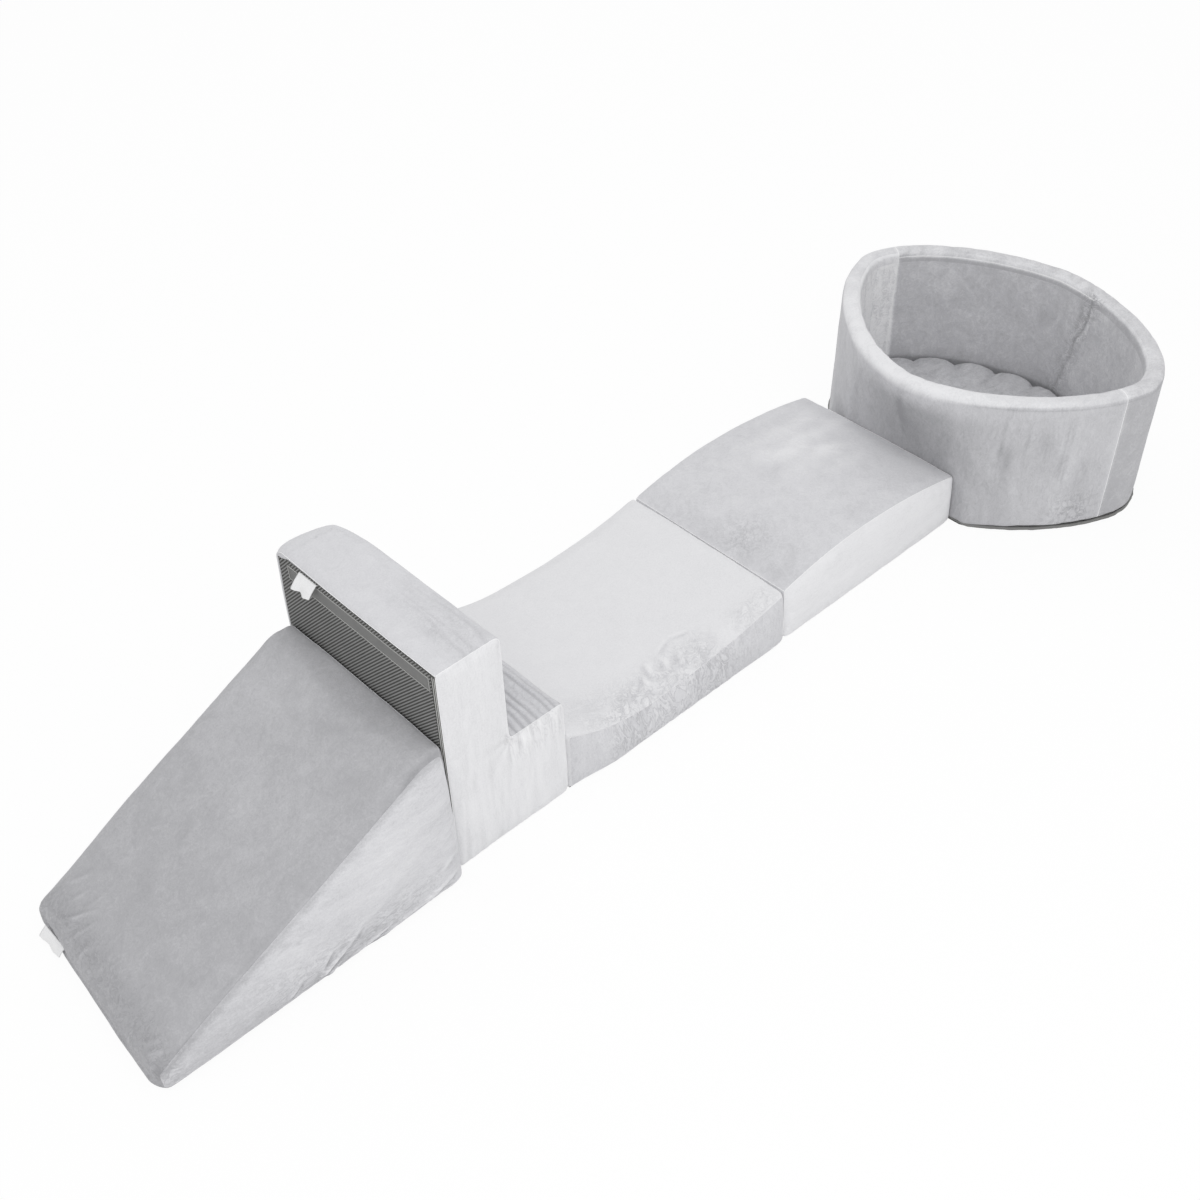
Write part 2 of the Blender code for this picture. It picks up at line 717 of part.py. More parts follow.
ROW_START = row_start()
add_ramp(ROW_START)
add_stair(ROW_START + STAIR_FROM_RAMP)
add_waves(ROW_START + DIP_FROM_RAMP, ROW_START + CREST_FROM_RAMP)
add_pit(ROW_START + PIT_MIDDLE_FROM_RAMP)
add_floor_pad(ROW_START + PIT_MIDDLE_FROM_RAMP)
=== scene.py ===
"""Looks of the soft play foam climber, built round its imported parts.

Five loose modules stand in a row: a ramp, a stair block on its end, a wave block with a
dip, one with a crest, and an oval ball pit with a tufted floor pad. Metres, Z up.
"""

import math

import bmesh
import bpy
import numpy as np
from mathutils import Matrix, Vector, noise


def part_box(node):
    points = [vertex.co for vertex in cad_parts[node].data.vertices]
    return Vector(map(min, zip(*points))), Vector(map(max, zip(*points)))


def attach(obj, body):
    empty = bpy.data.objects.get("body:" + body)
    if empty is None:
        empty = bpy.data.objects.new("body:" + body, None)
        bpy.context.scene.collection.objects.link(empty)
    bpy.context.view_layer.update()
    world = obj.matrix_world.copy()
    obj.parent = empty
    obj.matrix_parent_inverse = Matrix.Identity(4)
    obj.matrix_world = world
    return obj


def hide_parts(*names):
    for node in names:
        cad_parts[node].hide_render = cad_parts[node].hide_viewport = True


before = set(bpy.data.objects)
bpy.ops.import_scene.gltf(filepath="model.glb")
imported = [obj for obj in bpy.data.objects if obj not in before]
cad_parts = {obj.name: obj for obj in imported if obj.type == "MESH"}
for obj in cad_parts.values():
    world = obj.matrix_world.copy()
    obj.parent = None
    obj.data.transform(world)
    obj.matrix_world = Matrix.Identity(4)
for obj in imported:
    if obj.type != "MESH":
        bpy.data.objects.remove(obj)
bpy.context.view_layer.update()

# The camera, solved from the row's straight edges
CAMERA_PLACE = (-2.17441, -2.14559, 2.92401)
CAMERA_RIGHT = (0.72923, -0.68372, -0.02733)
CAMERA_DOWN = (-0.47303, -0.47485, -0.74213)
CAMERA_LENS = 48.3626
CAMERA_SENSOR = 36.0

# The foam blocks' sections, as they lie on their base
RAMP_TOE_HEIGHT = 0.055
RAMP_LANDING = 0.062
STAIR_LOW_STEP = 0.177
STAIR_HIGH_TREAD = 0.302
DIP_HEIGHTS = (0.190, 0.108, 0.162)
DIP_VALLEY_PLACE = 0.285
CREST_HEIGHTS = (0.162, 0.200, 0.150)
CREST_PEAK_PLACE = 0.300
BLOCK_WIDTH = 0.550
STAIR_LENGTH = 0.618
FOOT_ROUNDING = 0.004

# The covers: how finely they are netted, how far they crown, how high they are held down at the
# foot and turned in under it, and how deep a fold is that is marked in full
WAVE_STEPS = 36
EDGE_TURNS = 7
NET_CELL = 0.0110
COVER_CROWN = 0.0030
SEWN_FOOT = 0.006
TURNED_IN = 0.0035
DEEP_FOLD = 0.0035

# The base cloths, with depths measured out from the foot of the cover
RECESS = 0.0021
CLOTH_INSET = 0.0045
CLOTH_DEPTH = 0.0010
CLOTH_THICKNESS = 0.0008
STRIP_DEPTH = 0.0001
STRIP_THICKNESS = 0.0007
STRIP_HEM = 0.0022
RIB_PITCH = 0.0067
RIB_SLANT = -44
RIB_RADIUS = 0.0021
RIB_DEPTH = 0.0024
CORD_RADIUS = 0.0011
CORD_PLACES = (0.0050, 0.0114)

# The ball pit
PIT_LENGTH = 0.798
PIT_WIDTH = 1.008
PIT_HEIGHT = 0.421
PIT_SWEEP = 0.052
PIT_ROUNDNESS = 1.68
PIT_OVERHANG = 0.062
PIT_GAP = 0.0005
PIT_WALL = 0.055
PIT_RIM_ROUNDING = 0.021
PIT_PRESSED_HEIGHT = 0.170
PIT_MIDDLE_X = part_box("pit_cover")[1].x - PIT_LENGTH / 2
PIT_PRESSED_X = PIT_OVERHANG + PIT_GAP - PIT_LENGTH / 2
PIT_COLUMNS = 264
PIT_FOOT = 0.0021
PIT_BASE_LEAN = (-0.013, 0.006)
PIT_HEM_RADIUS = 0.0046

# Where the pit's seams are, as headings about its middle in degrees
PIT_NEAR_SEAM = -95
PIT_FAR_SEAM = 74.5
PIT_RIM_STITCHES_START = -22

# The floor pad
PAD_HEIGHT = 0.072
PAD_CLEARANCE = 0.006
PAD_SCALLOPS = 18
PAD_STEPS_PER_SCALLOP = 16
PAD_SCALLOP_DEPTH = 0.011
PAD_PLEAT_DEPTH = 0.012
PAD_TUFT_DEPTH = 0.010
PAD_TUFT_SHARE = 0.48
PAD_SCALLOPS_PER_TUFT = 3

scene = bpy.context.scene


# Finishes

def linear(hexed):
    """An sRGB hex colour as a linear one with full alpha."""
    channels = [int(hexed[place:place + 2], 16) / 255 for place in (0, 2, 4)]
    return [c / 12.92 if c <= 0.04045 else ((c + 0.055) / 1.055) ** 2.4 for c in channels] + [1]


def fed(tree, node, inputs):
    """Gives inputs a link from a socket or from a node's first output, or a fixed value."""
    for name, source in dict(inputs).items():
        if isinstance(source, bpy.types.Node):
            source = source.outputs[0]
        if isinstance(source, bpy.types.NodeSocket):
            tree.links.new(source, node.inputs[name])
        else:
            node.inputs[name].default_value = source
    return node


def add(tree, kind, inputs=(), **settings):
    """Adds a node with its settings and inputs."""
    node = tree.nodes.new(kind)
    for name, value in settings.items():
        setattr(node, name, value)
    return fed(tree, node, inputs)


def new_finish(name):
    """A new material with its tree, and the place on the object."""
    material = bpy.data.materials.new(name)
    material.use_nodes = True
    tree = material.node_tree
    return material, tree, add(tree, "ShaderNodeTexCoord").outputs["Object"]


def surfaced(material, tone, hexes, values, relief=None, ends=(0.0, 1.0)):
    """Colours a material by its tone, from shade over body to light, and sets its shader.

    Its relief is a height with a strength and a depth in metres.
    """
    tree = material.node_tree
    ramp = add(tree, "ShaderNodeValToRGB", {0: tone})
    stops = ramp.color_ramp.elements
    stops.new(0.5)
    for stop, place, hexed in zip(stops, (ends[0], 0.5, ends[1]), hexes):
        stop.position = place
        stop.color = linear(hexed)
    inputs = {"Base Color": ramp, **values}
    if relief:
        height, strength, depth = relief
        inputs["Normal"] = add(tree, "ShaderNodeBump", {"Height": height, "Strength": strength,
                                                        "Distance": depth})
    fed(tree, tree.nodes["Principled BSDF"], inputs)
    return material


def summed(tree, base, *parts):
    """The base value plus each (socket, weight, middle). A part at its middle adds nothing."""
    total = base
    for socket, weight, middle in parts:
        swing = add(tree, "ShaderNodeMath", {0: socket, 1: middle}, operation="SUBTRACT")
        total = add(tree, "ShaderNodeMath", {0: swing, 1: weight, 2: total},
                    operation="MULTIPLY_ADD")
    return total


def short_pile_velvet(name, shade, body, light, sweep=(1.0, 1.0, 1.0), patchy=1.0, tuft=1.0):
    """Polyester velvet, knitted and sheared to a 2 mm pile.

    The pile lies the way a hand last stroked it, so it shows soft patches of lighter and
    darker grey, short strokes, and a dull glow where it is seen edge on. Fold crests, crease
    lips and seams are toned paler as a painted highlight, and fold and crease valleys darker
    as painted shade.
    """
    material, tree, place = new_finish(name)
    swept = add(tree, "ShaderNodeMapping", {0: place, "Scale": sweep})
    # patches 110 mm across, hand strokes 24 mm, and creases of crumpled cloth 30 mm apart
    patches, strokes, crumple = [
        add(tree, "ShaderNodeTexNoise", {"Vector": swept, "Scale": 1 / across, "Detail": detail,
                                         "Roughness": rough, "Distortion": bent})
        for across, detail, rough, bent in (
            (0.110, 3.0, 0.6, 1.2), (0.024, 4.0, 0.65, 1.8), (0.030, 2.0, 0.5, 2.2))]
    # pile tufts are under 1 mm and are drawn 4 mm wide, to show at all
    tufts = add(tree, "ShaderNodeTexNoise", {
        "Vector": place, "Scale": 1 / 0.004, "Detail": 2.0, "Roughness": 0.7})
    fold, seam, nap_and_painted_light, crumpled = [
        add(tree, "ShaderNodeAttribute", attribute_name=mark).outputs["Fac"]
        for mark in ("fold", "seam", "nap_and_painted_light", "crumpled")]
    lines = []
    for level in (0.5, 0.59):
        # a valley where the noise crosses one level, and a lip where it crosses the next
        line = add(tree, "ShaderNodeMath", {0: crumple, 1: level}, operation="SUBTRACT")
        line = add(tree, "ShaderNodeMath", {0: line}, operation="ABSOLUTE")
        line = add(tree, "ShaderNodeMath", {0: line, 1: -15.0, 2: 1.0},
                   operation="MULTIPLY_ADD", use_clamp=True)
        lines.append(add(tree, "ShaderNodeMath", {0: line, 1: crumpled}, operation="MULTIPLY"))
    valleys, lips = lines
    # painted light in the tone: fold crests and crease lips paler and seams paler as a painted
    # highlight, fold and crease valleys darker as painted shade; the per-point tone mark adds the
    # pile's lay together with painted light and shade
    tone = summed(tree, 0.5, (patches, 0.45 * patchy, 0.5), (strokes, 0.5 * patchy, 0.5),
                  (tufts, 0.45 * tuft, 0.5), (fold, 0.42, 0.0), (seam, 0.14, 0.0),
                  (nap_and_painted_light, 0.5, 0.0), (valleys, -0.30, 0.0), (lips, 0.20, 0.0))
    height = summed(tree, 0.5, (tufts, 0.6 * tuft, 0.5), (strokes, 0.5, 0.5),
                    (valleys, -1.3, 0.0), (lips, 0.5, 0.0))
    return surfaced(material, tone, (shade, body, light),
                    {"Roughness": 0.95, "Specular IOR Level": 0.15, "Sheen Weight": 0.18,
                     "Sheen Roughness": 0.45}, (height, 0.4, 0.0018))


def woven_cloth(name, shade, body, light, thread, relief=0.4):
    """Plain woven polyester: threads cross at right angles and leave small dark gaps."""
    material, tree, place = new_finish(name)
    # a wave texture repeats 3.2 times in a unit at scale 1, so this is one wave per thread
    waves = [add(tree, "ShaderNodeTexWave", {
        "Vector": place, "Scale": 1 / thread / 3.2, "Distortion": 0.6, "Detail": 1.0},
        bands_direction=axis).outputs["Fac"] for axis in "YZX"]
    worn = add(tree, "ShaderNodeTexNoise", {
        "Vector": place, "Scale": 1 / 0.040, "Detail": 4.0, "Roughness": 0.6})
    weave = summed(tree, 0.5, *[(wave, 0.10, 0.5) for wave in waves])
    return surfaced(material, summed(tree, weave, (worn, 0.4, 0.5)), (shade, body, light),
                    {"Roughness": 0.85, "Specular IOR Level": 0.25}, (weave, relief, 0.0005))


def woven_satin(name):
    """Polyester satin ribbon: long floats of thread give a smooth, pearly white."""
    material, tree, place = new_finish(name)
    drawn = add(tree, "ShaderNodeMapping", {0: place, "Scale": (1.0, 1.0, 0.15)})
    # floats are 0.2 mm wide and are drawn 0.8 mm wide
    floats = add(tree, "ShaderNodeTexNoise", {
        "Vector": drawn, "Scale": 1 / 0.0008, "Detail": 1.0})
    return surfaced(material, floats, ("d9d9da", "ececed", "f4f4f4"),
                    {"Roughness": 0.38, "Sheen Weight": 0.25}, (floats, 0.12, 0.0003), (0.2, 0.8))


def plated_zinc(name):
    """Die-cast zinc with nickel plating, tumbled: pale grey metal with a soft shine."""
    material, tree, place = new_finish(name)
    wear = add(tree, "ShaderNodeTexNoise", {
        "Vector": place, "Scale": 1 / 0.0015, "Detail": 3.0})
    rough = summed(tree, 0.32, (wear, 0.2, 0.5))
    return surfaced(material, wear, ("8f9092", "a6a7a9", "b9babc"),
                    {"Roughness": rough, "Metallic": 1.0}, ends=(0.3, 0.7))


# one grey velvet in copies for tops, sides, the pit and the pad, toned apart partly by the pile's
# lay and partly as painted light and shade for how brightly each face is lit
RAMP_TOP = short_pile_velvet("velvet_ramp_top", "9a9a9d", "b0b0b3", "cacacd")
RAMP_SIDE = short_pile_velvet("velvet_ramp_side", "acacaf", "d1d1d4", "e8e8ea", (0.5, 1, 1.4))
STAIR_TOP = short_pile_velvet("velvet_stair_top", "b8b8bb", "d1d1d4", "e4e4e6", patchy=0.6)
STAIR_SIDE = short_pile_velvet("velvet_stair_side", "cbcbcd", "e4e4e6", "f1f1f2", (1.6, 1, 0.3),
                               0.7)
DIP_TOP = short_pile_velvet("velvet_dip_top", "c8c8cb", "dfdfe1", "ededee", patchy=0.35)
DIP_SIDE = short_pile_velvet("velvet_dip_side", "b4b4b7", "d2d2d5", "e5e5e7", (1.3, 1, 0.5))
CREST_TOP = short_pile_velvet("velvet_crest_top", "b4b4b7", "d0d0d3", "e3e3e5")
CREST_SIDE = short_pile_velvet("velvet_crest_side", "d0d0d2", "e6e6e8", "f2f2f3", (0.6, 1, 1.4),
                               0.7)
PIT_OUTSIDE = short_pile_velvet("velvet_pit_outside", "9a9a9d", "c7c7ca", "e6e6e8",
                                (1.2, 1.2, 0.6), patchy=0.7, tuft=0.5)
PIT_PANEL = short_pile_velvet("velvet_pit_end_panel", "99999c", "b8b8bb", "eaeaec", patchy=0.5,
                              tuft=0.5)
PIT_INSIDE = short_pile_velvet("velvet_pit_inside", "9c9c9f", "c8c8cb", "f4f4f5", patchy=1.0,
                               tuft=0.5)
PAD_TOP = short_pile_velvet("velvet_floor_pad", "9a9a9d", "c2c2c5", "dcdcde")
# paler velvet for the raised seams: a painted highlight along them
SEAM_PAINTED_HIGHLIGHT = short_pile_velvet("velvet_seam_painted_highlight", "d6d6d8", "eeeeef", "f8f8f8", patchy=0.3)
GRIP_CLOTH = woven_cloth("coated_grip_cloth", "3f3f3e", "4f4f4d", "5f5f5d", 0.0012)
GRIP_RIB = woven_cloth("grip_cloth_rib", "777775", "909090", "a0a09e", 0.0012)
ZIP_STRIP = woven_cloth("woven_zip_strip", "6a6a69", "7f7f7e", "8e8e8d", 0.0010, 0.3)
ZIP_TAPE = woven_cloth("woven_zip_tape", "3f3f3f", "545454", "666666", 0.0008)
THREAD = woven_cloth("spun_thread", "b0b0ae", "c9c9c7", "dadad8", 0.0006)
SATIN = woven_satin("woven_satin_ribbon")
PLATED = plated_zinc("plated_zinc")


# Meshes

def piece_of(name, points, faces, finishes, kinds=None):
    """A smooth mesh object with its faces turned outward, and one finish index per face."""
    mesh = bpy.data.meshes.new(name)
    mesh.from_pydata([tuple(point) for point in points], [], faces)
    for finish in finishes:
        mesh.materials.append(finish)
    if kinds is not None:
        mesh.polygons.foreach_set("material_index", kinds)
    work = bmesh.new()
    work.from_mesh(mesh)
    bmesh.ops.recalc_face_normals(work, faces=work.faces)
    work.to_mesh(mesh)
    work.free()
    mesh.shade_smooth()
    piece = bpy.data.objects.new(name, mesh)
    scene.collection.objects.link(piece)
    return piece


def band_faces(first, second, count):
    """The faces between two closed rows of points, from the number of each row's first point."""
    return [(first + step, first + (step + 1) % count, second + (step + 1) % count,
             second + step) for step in range(count)]


def applied(piece):
    """Makes a piece's modifiers part of its mesh."""
    bpy.context.view_layer.update()
    shape = bpy.context.evaluated_depsgraph_get()
    made = bpy.data.meshes.new_from_object(piece.evaluated_get(shape), depsgraph=shape,
                                           preserve_all_data_layers=True)
    piece.modifiers.clear()
    piece.data = made
    return piece


def subdivided(piece):
    """Smooths a piece with one level of subdivision."""
    smoother = piece.modifiers.new("smooth", "SUBSURF")
    smoother.levels = 1
    smoother.render_levels = 1
    return applied(piece)


def point_values(piece, name, values):
    """Stores a value for each point, for the finish to read."""
    layer = piece.data.attributes.get(name)
    if layer is None:
        layer = piece.data.attributes.new(name, "FLOAT", "POINT")
    layer.data.foreach_set("value", np.asarray(values, np.float32))


def mark(piece, fold, nap_and_painted_light, crumpled):
    """Marks each point as fold or valley, for painted highlights and shade, its tone paler or darker
    from the pile's lay and from painted light and shade, and how crumpled it is.
    """
    point_values(piece, "fold", np.clip(fold, -1, 1))
    point_values(piece, "nap_and_painted_light", nap_and_painted_light)
    point_values(piece, "crumpled", np.clip(crumpled, 0, 1))


def read_points(piece):
    """A piece's points and normals as arrays."""
    count = len(piece.data.vertices)
    points = np.empty(count * 3)
    normals = np.empty(count * 3)
    piece.data.vertices.foreach_get("co", points)
    piece.data.vertices.foreach_get("normal", normals)
    return points.reshape(-1, 3), normals.reshape(-1, 3)


def puffed(piece, held, pressure, cap, slack=0.0, frames=20):
    """Blows a cover up as cloth round its filling, while its sewn points stay held.

    The cloth may be cut larger than its form by a share, its slack, which gives wrinkles.
    No point moves further than the cap.
    """
    start = read_points(piece)[0]
    group = piece.vertex_groups.new(name="sewn")
    for weight in np.unique(np.round(held[held > 0.04], 1)):
        members = np.nonzero(np.round(held, 1) == weight)[0]
        group.add(members.tolist(), float(weight), "REPLACE")
    cloth = piece.modifiers.new("cloth", "CLOTH")
    settings = cloth.settings
    settings.quality = 4
    settings.tension_stiffness = 12
    settings.compression_stiffness = 6
    settings.bending_stiffness = 0.4
    settings.use_pressure = True
    settings.uniform_pressure_force = pressure
    settings.vertex_group_mass = "sewn"
    settings.shrink_min = -slack
    settings.effector_weights.gravity = 0
    cloth.point_cache.frame_start = 1
    cloth.point_cache.frame_end = frames
    for frame_number in range(1, frames + 1):
        scene.frame_set(frame_number)
    shape = bpy.context.evaluated_depsgraph_get()
    blown = piece.evaluated_get(shape)
    moved = np.empty(len(start) * 3)
    blown.data.vertices.foreach_get("co", moved)
    travel = moved.reshape(-1, 3) - start
    reach = np.linalg.norm(travel, axis=1)[:, None]
    travel *= np.minimum(1, cap / np.maximum(reach, 1e-9))
    piece.modifiers.clear()
    piece.vertex_groups.clear()
    scene.frame_set(1)
    write_points(piece, start + travel)


def write_points(piece, points):
    """Moves a piece's points."""
    piece.data.vertices.foreach_set("co", np.asarray(points, np.float32).ravel())
    piece.data.update()


def eased(low, high, value):
    """0 below low, 1 above high, and a smooth rise between them."""
    share = np.clip((value - low) / (high - low), 0, 1)
    return share * share * (3 - 2 * share)


def wander(points, size, seed):
    """Soft noise from about -1 to 1, with lumps of the given size or (x, y, z) sizes."""
    shift = Vector((seed * 17.31, seed * 5.17, seed * 9.73))
    scaled = points / np.asarray(size, float)
    return np.array([noise.noise(Vector(point) + shift) for point in scaled])


def creased(points, size, seed, turn=0.0):
    """Noise with sharp crests from 0 to 1, like crumpled cloth, turned about Z by degrees."""
    c, s = math.cos(math.radians(turn)), math.sin(math.radians(turn))
    turned = np.column_stack([points[:, 0] * c + points[:, 1] * s,
                              points[:, 1] * c - points[:, 0] * s, points[:, 2]])
    return 1 - np.minimum(np.abs(wander(turned, size, seed)) * 3.2, 1)


def zone(value, low, high, soft):
    """1 between low and high, with soft ends."""
    return eased(low - soft, low + soft, value) * (1 - eased(high - soft, high + soft, value))


def blob(places, middle, size):
    """1 at a middle, fading away round it."""
    gap = (places - np.asarray(middle)) / np.asarray(size)
    return np.exp(-np.sum(gap * gap, axis=1))


def rounded_end(share):
    """0 at an end, rising along a quarter circle to 1."""
    back = 1 - np.clip(share, 0, 1)
    return np.sqrt(1 - back * back)


def puckers(value, pitch):
    """0 on broad ridges, 1 in the narrow valleys between them, a pitch apart."""
    return 1 - np.abs(np.sin(math.pi * value / pitch)) ** 0.7


def line_folds(places, lines):
    """Folds along lines of (u, v, u, v, width, lift), each with a valley on one side."""
    total = np.zeros(len(places))
    for u0, v0, u1, v1, width, lift in lines:
        start = np.array([u0, v0])
        span = np.array([u1, v1]) - start
        share = np.clip((places - start) @ span / (span @ span), 0, 1)
        beside = (places - start) @ np.array([-span[1], span[0]]) / np.linalg.norm(span)
        ridge = np.exp(-(beside / width) ** 2)
        valley = np.exp(-((beside - 1.7 * width) / width) ** 2)
        total += lift * np.maximum(np.sin(math.pi * share), 0) ** 0.6 * (ridge - 0.7 * valley)
    return total


# Sections of the blocks

def inset_corners(corners, depth):
    """A closed counter-clockwise row of (u, v, rounding) corners drawn in by a depth."""
    drawn = []
    for index, (u, v, rounding) in enumerate(corners):
        here = Vector((u, v))
        along = (here - Vector(corners[index - 1][:2])).normalized()
        onward = (Vector(corners[(index + 1) % len(corners)][:2]) - here).normalized()
        normal = Vector((-along.y, along.x))
        next_normal = Vector((-onward.y, onward.x))
        place = here + (normal + next_normal) * depth / (1 + normal.dot(next_normal))
        turn = along.x * onward.y - along.y * onward.x
        if rounding:
            rounding = max(rounding - math.copysign(depth, turn), 0.001)
        drawn.append((place.x, place.y, rounding))
    return drawn


def corner_arc(corners, index, steps=8):
    """The points of one corner's rounding, or the corner alone."""
    u, v, rounding = corners[index]
    here = Vector((u, v))
    if not rounding:
        return [here] * 2
    back = (Vector(corners[index - 1][:2]) - here).normalized()
    ahead = (Vector(corners[(index + 1) % len(corners)][:2]) - here).normalized()
    opening = back.angle(ahead)
    centre = here + (back + ahead).normalized() * rounding / math.sin(opening / 2)
    start = here + back * rounding / math.tan(opening / 2) - centre
    turn = math.copysign(math.pi - opening, back.y * ahead.x - back.x * ahead.y)
    return [centre + Matrix.Rotation(turn * step / steps, 2) @ start
            for step in range(steps + 1)]


def ring_of(corners, legs):
    """The section as one ring of points. Each leg runs from one corner to another in steps."""
    arcs = [corner_arc(corners, index) for index in range(len(corners))]
    ring = []
    for first, last, steps in legs:
        path = arcs[first][len(arcs[first]) // 2:]
        index = (first + 1) % len(corners)
        while index != last:
            path = path + arcs[index]
            index = (index + 1) % len(corners)
        path = path + arcs[last][:len(arcs[last]) // 2 + 1]
        ring += spaced(path, steps)[:-1]
    return np.array([tuple(point) for point in ring])


def spaced(path, steps):
    """Points at even distances along an open path, its ends included."""
    rough = np.array([tuple(point) for point in path])
    reach = np.concatenate([[0], np.cumsum(np.linalg.norm(np.diff(rough, axis=0), axis=1))])
    targets = np.linspace(0, reach[-1], steps + 1)
    return list(np.column_stack([np.interp(targets, reach, rough[:, axis])
                                 for axis in range(rough.shape[1])]))


def filled(ring, long_steps, short_steps):
    """The inner points of a ring's panel, spread between its two long and two short sides."""
    count = len(ring)
    bottom = ring[:long_steps + 1]
    right = ring[long_steps:long_steps + short_steps + 1]
    top = ring[long_steps + short_steps:2 * long_steps + short_steps + 1][::-1]
    left = ring[np.arange(count, 2 * long_steps + short_steps - 1, -1) % count]
    s = np.linspace(0, 1, long_steps + 1)[:, None, None]
    t = np.linspace(0, 1, short_steps + 1)[None, :, None]
    ruled = (1 - t) * bottom[:, None] + t * top[:, None]
    ruled = ruled + (1 - s) * left[None] + s * right[None]
    ruled = ruled - ((1 - s) * (1 - t) * bottom[0] + s * (1 - t) * bottom[-1]
                     + (1 - s) * t * top[0] + s * t * top[-1])
    return ruled[1:-1, 1:-1].reshape(-1, 2)


def panel_faces(ring_start, inner_start, long_steps, short_steps):
    """The faces of a panel between a ring's points and the inner points."""
    count = 2 * (long_steps + short_steps)

    def index(i, j):
        if j == 0:
            return ring_start + i
        if i == long_steps:
            return ring_start + long_steps + j
        if j == short_steps:
            return ring_start + 2 * long_steps + short_steps - i
        if i == 0:
            return ring_start + (count - j) % count
        return inner_start + (i - 1) * (short_steps - 1) + j - 1

    return [(index(i, j), index(i + 1, j), index(i + 1, j + 1), index(i, j + 1))
            for i in range(long_steps) for j in range(short_steps)]


def block_skin(name, corners, legs, low_y, high_y, stand, finishes, edge, seam_row, cross_legs):
    """A block's cover: a band round its section, rounded edges and two side panels.

    The panels' seams lie on a row of the rounded edges, and more seams cross the band
    where the given legs start.
    """
    outer = ring_of(corners, legs)
    inner = ring_of(inset_corners(corners, edge), legs)
    count = len(outer)
    short_steps = legs[-1][2]
    long_steps = count // 2 - short_steps
    turns = np.linspace(0, math.pi / 2, EDGE_TURNS)
    near = [(math.sin(turn), low_y + edge * (1 - math.cos(turn))) for turn in turns]
    far = [(share, low_y + high_y - y) for share, y in reversed(near)]
    inside = int((high_y - low_y) / NET_CELL)
    across = np.linspace(near[-1][1], far[0][1], inside + 1)[1:-1]
    stations = near + [(1.0, y) for y in across] + far
    last_seam = len(stations) - 1 - seam_row
    crossings = [sum(leg[2] for leg in legs[:number]) for number in cross_legs]
    points = []
    seam = []
    for row, (share, y) in enumerate(stations):
        ring = inner + (outer - inner) * share
        points += [stand(u, v, y) for u, v in ring]
        marks = np.full(count, 1.0 if row in (seam_row, last_seam) else 0.0)
        if seam_row <= row <= last_seam:
            marks[crossings] = 1.0
        seam += marks.tolist()
    faces = []
    kinds = []
    for row in range(len(stations) - 1):
        faces += band_faces(row * count, (row + 1) * count, count)
        kinds += [int(row < seam_row or row >= last_seam)] * count
    for ring_start, y in ((0, low_y), ((len(stations) - 1) * count, high_y)):
        inner_points = filled(inner, long_steps, short_steps)
        panel = panel_faces(ring_start, len(points), long_steps, short_steps)
        points += [stand(u, v, y) for u, v in inner_points]
        seam += [0.0] * len(inner_points)
        faces += panel
        kinds += [1] * len(panel)
    piece = piece_of(name, points, faces, finishes, kinds)
    point_values(piece, "seam", seam)
    return piece


def wave_corners(length, heights, turn_place):
    """The section of a wave block, whose top runs through a valley or over a peak."""
    start, turn, end = heights
    corners = [(0, 0, FOOT_ROUNDING), (length, 0, FOOT_ROUNDING)]
    for step in range(WAVE_STEPS, -1, -1):
        u = length * step / WAVE_STEPS
        if u < turn_place:
            v = turn + (start - turn) * ((turn_place - u) / turn_place) ** 2
        else:
            v = turn + (end - turn) * ((u - turn_place) / (length - turn_place)) ** 2
        corners.append((u, v, 0.008 if step in (0, WAVE_STEPS) else 0))
    return corners


# Soft shape that every block shares

def edge_distance(points, ring):
    """How far each (u, v) point lies from a closed ring."""
    nearest = np.full(len(points), 1e9)
    for start, end in zip(ring, np.roll(ring, -1, axis=0)):
        along = end - start
        share = np.clip((points - start) @ along / max(along @ along, 1e-12), 0, 1)
        gap = np.linalg.norm(points - start - share[:, None] * along, axis=1)
        nearest = np.minimum(nearest, gap)
    return nearest


def top_line(ring, places):
    """The height of a section's top over each place along its base."""
    reach = np.linspace(0, ring[:, 0].max(), 257)
    height = np.zeros(len(reach))
    for start, end in zip(ring, np.roll(ring, -1, axis=0)):
        low, high = sorted((start[0], end[0]))
        held = (reach >= low - 1e-9) & (reach <= high + 1e-9)
        share = (reach[held] - start[0]) / (end[0] - start[0] or 1.0)
        height[held] = np.maximum(height[held], start[1] + (end[1] - start[1]) * share)
    return np.interp(places, reach, height)


def swollen_sides(local, below, height, near, far, ends):
    """How far the soft sides swell outward under their top seams, as moves along Y."""
    depth = 1 - np.exp(-np.maximum(below, 0) / (0.22 * height + 0.012))
    held = depth * rounded_end(local[:, 0] / ends[0])
    held = held * rounded_end((local[:, 0].max() - local[:, 0]) / ends[1])
    from_far = local[:, 1].max() - local[:, 1]
    moved = np.zeros_like(local)
    moved[:, 1] = held * (far * (1 - eased(0, 0.07, from_far))
                          - near * (1 - eased(0, 0.07, local[:, 1])))
    return moved


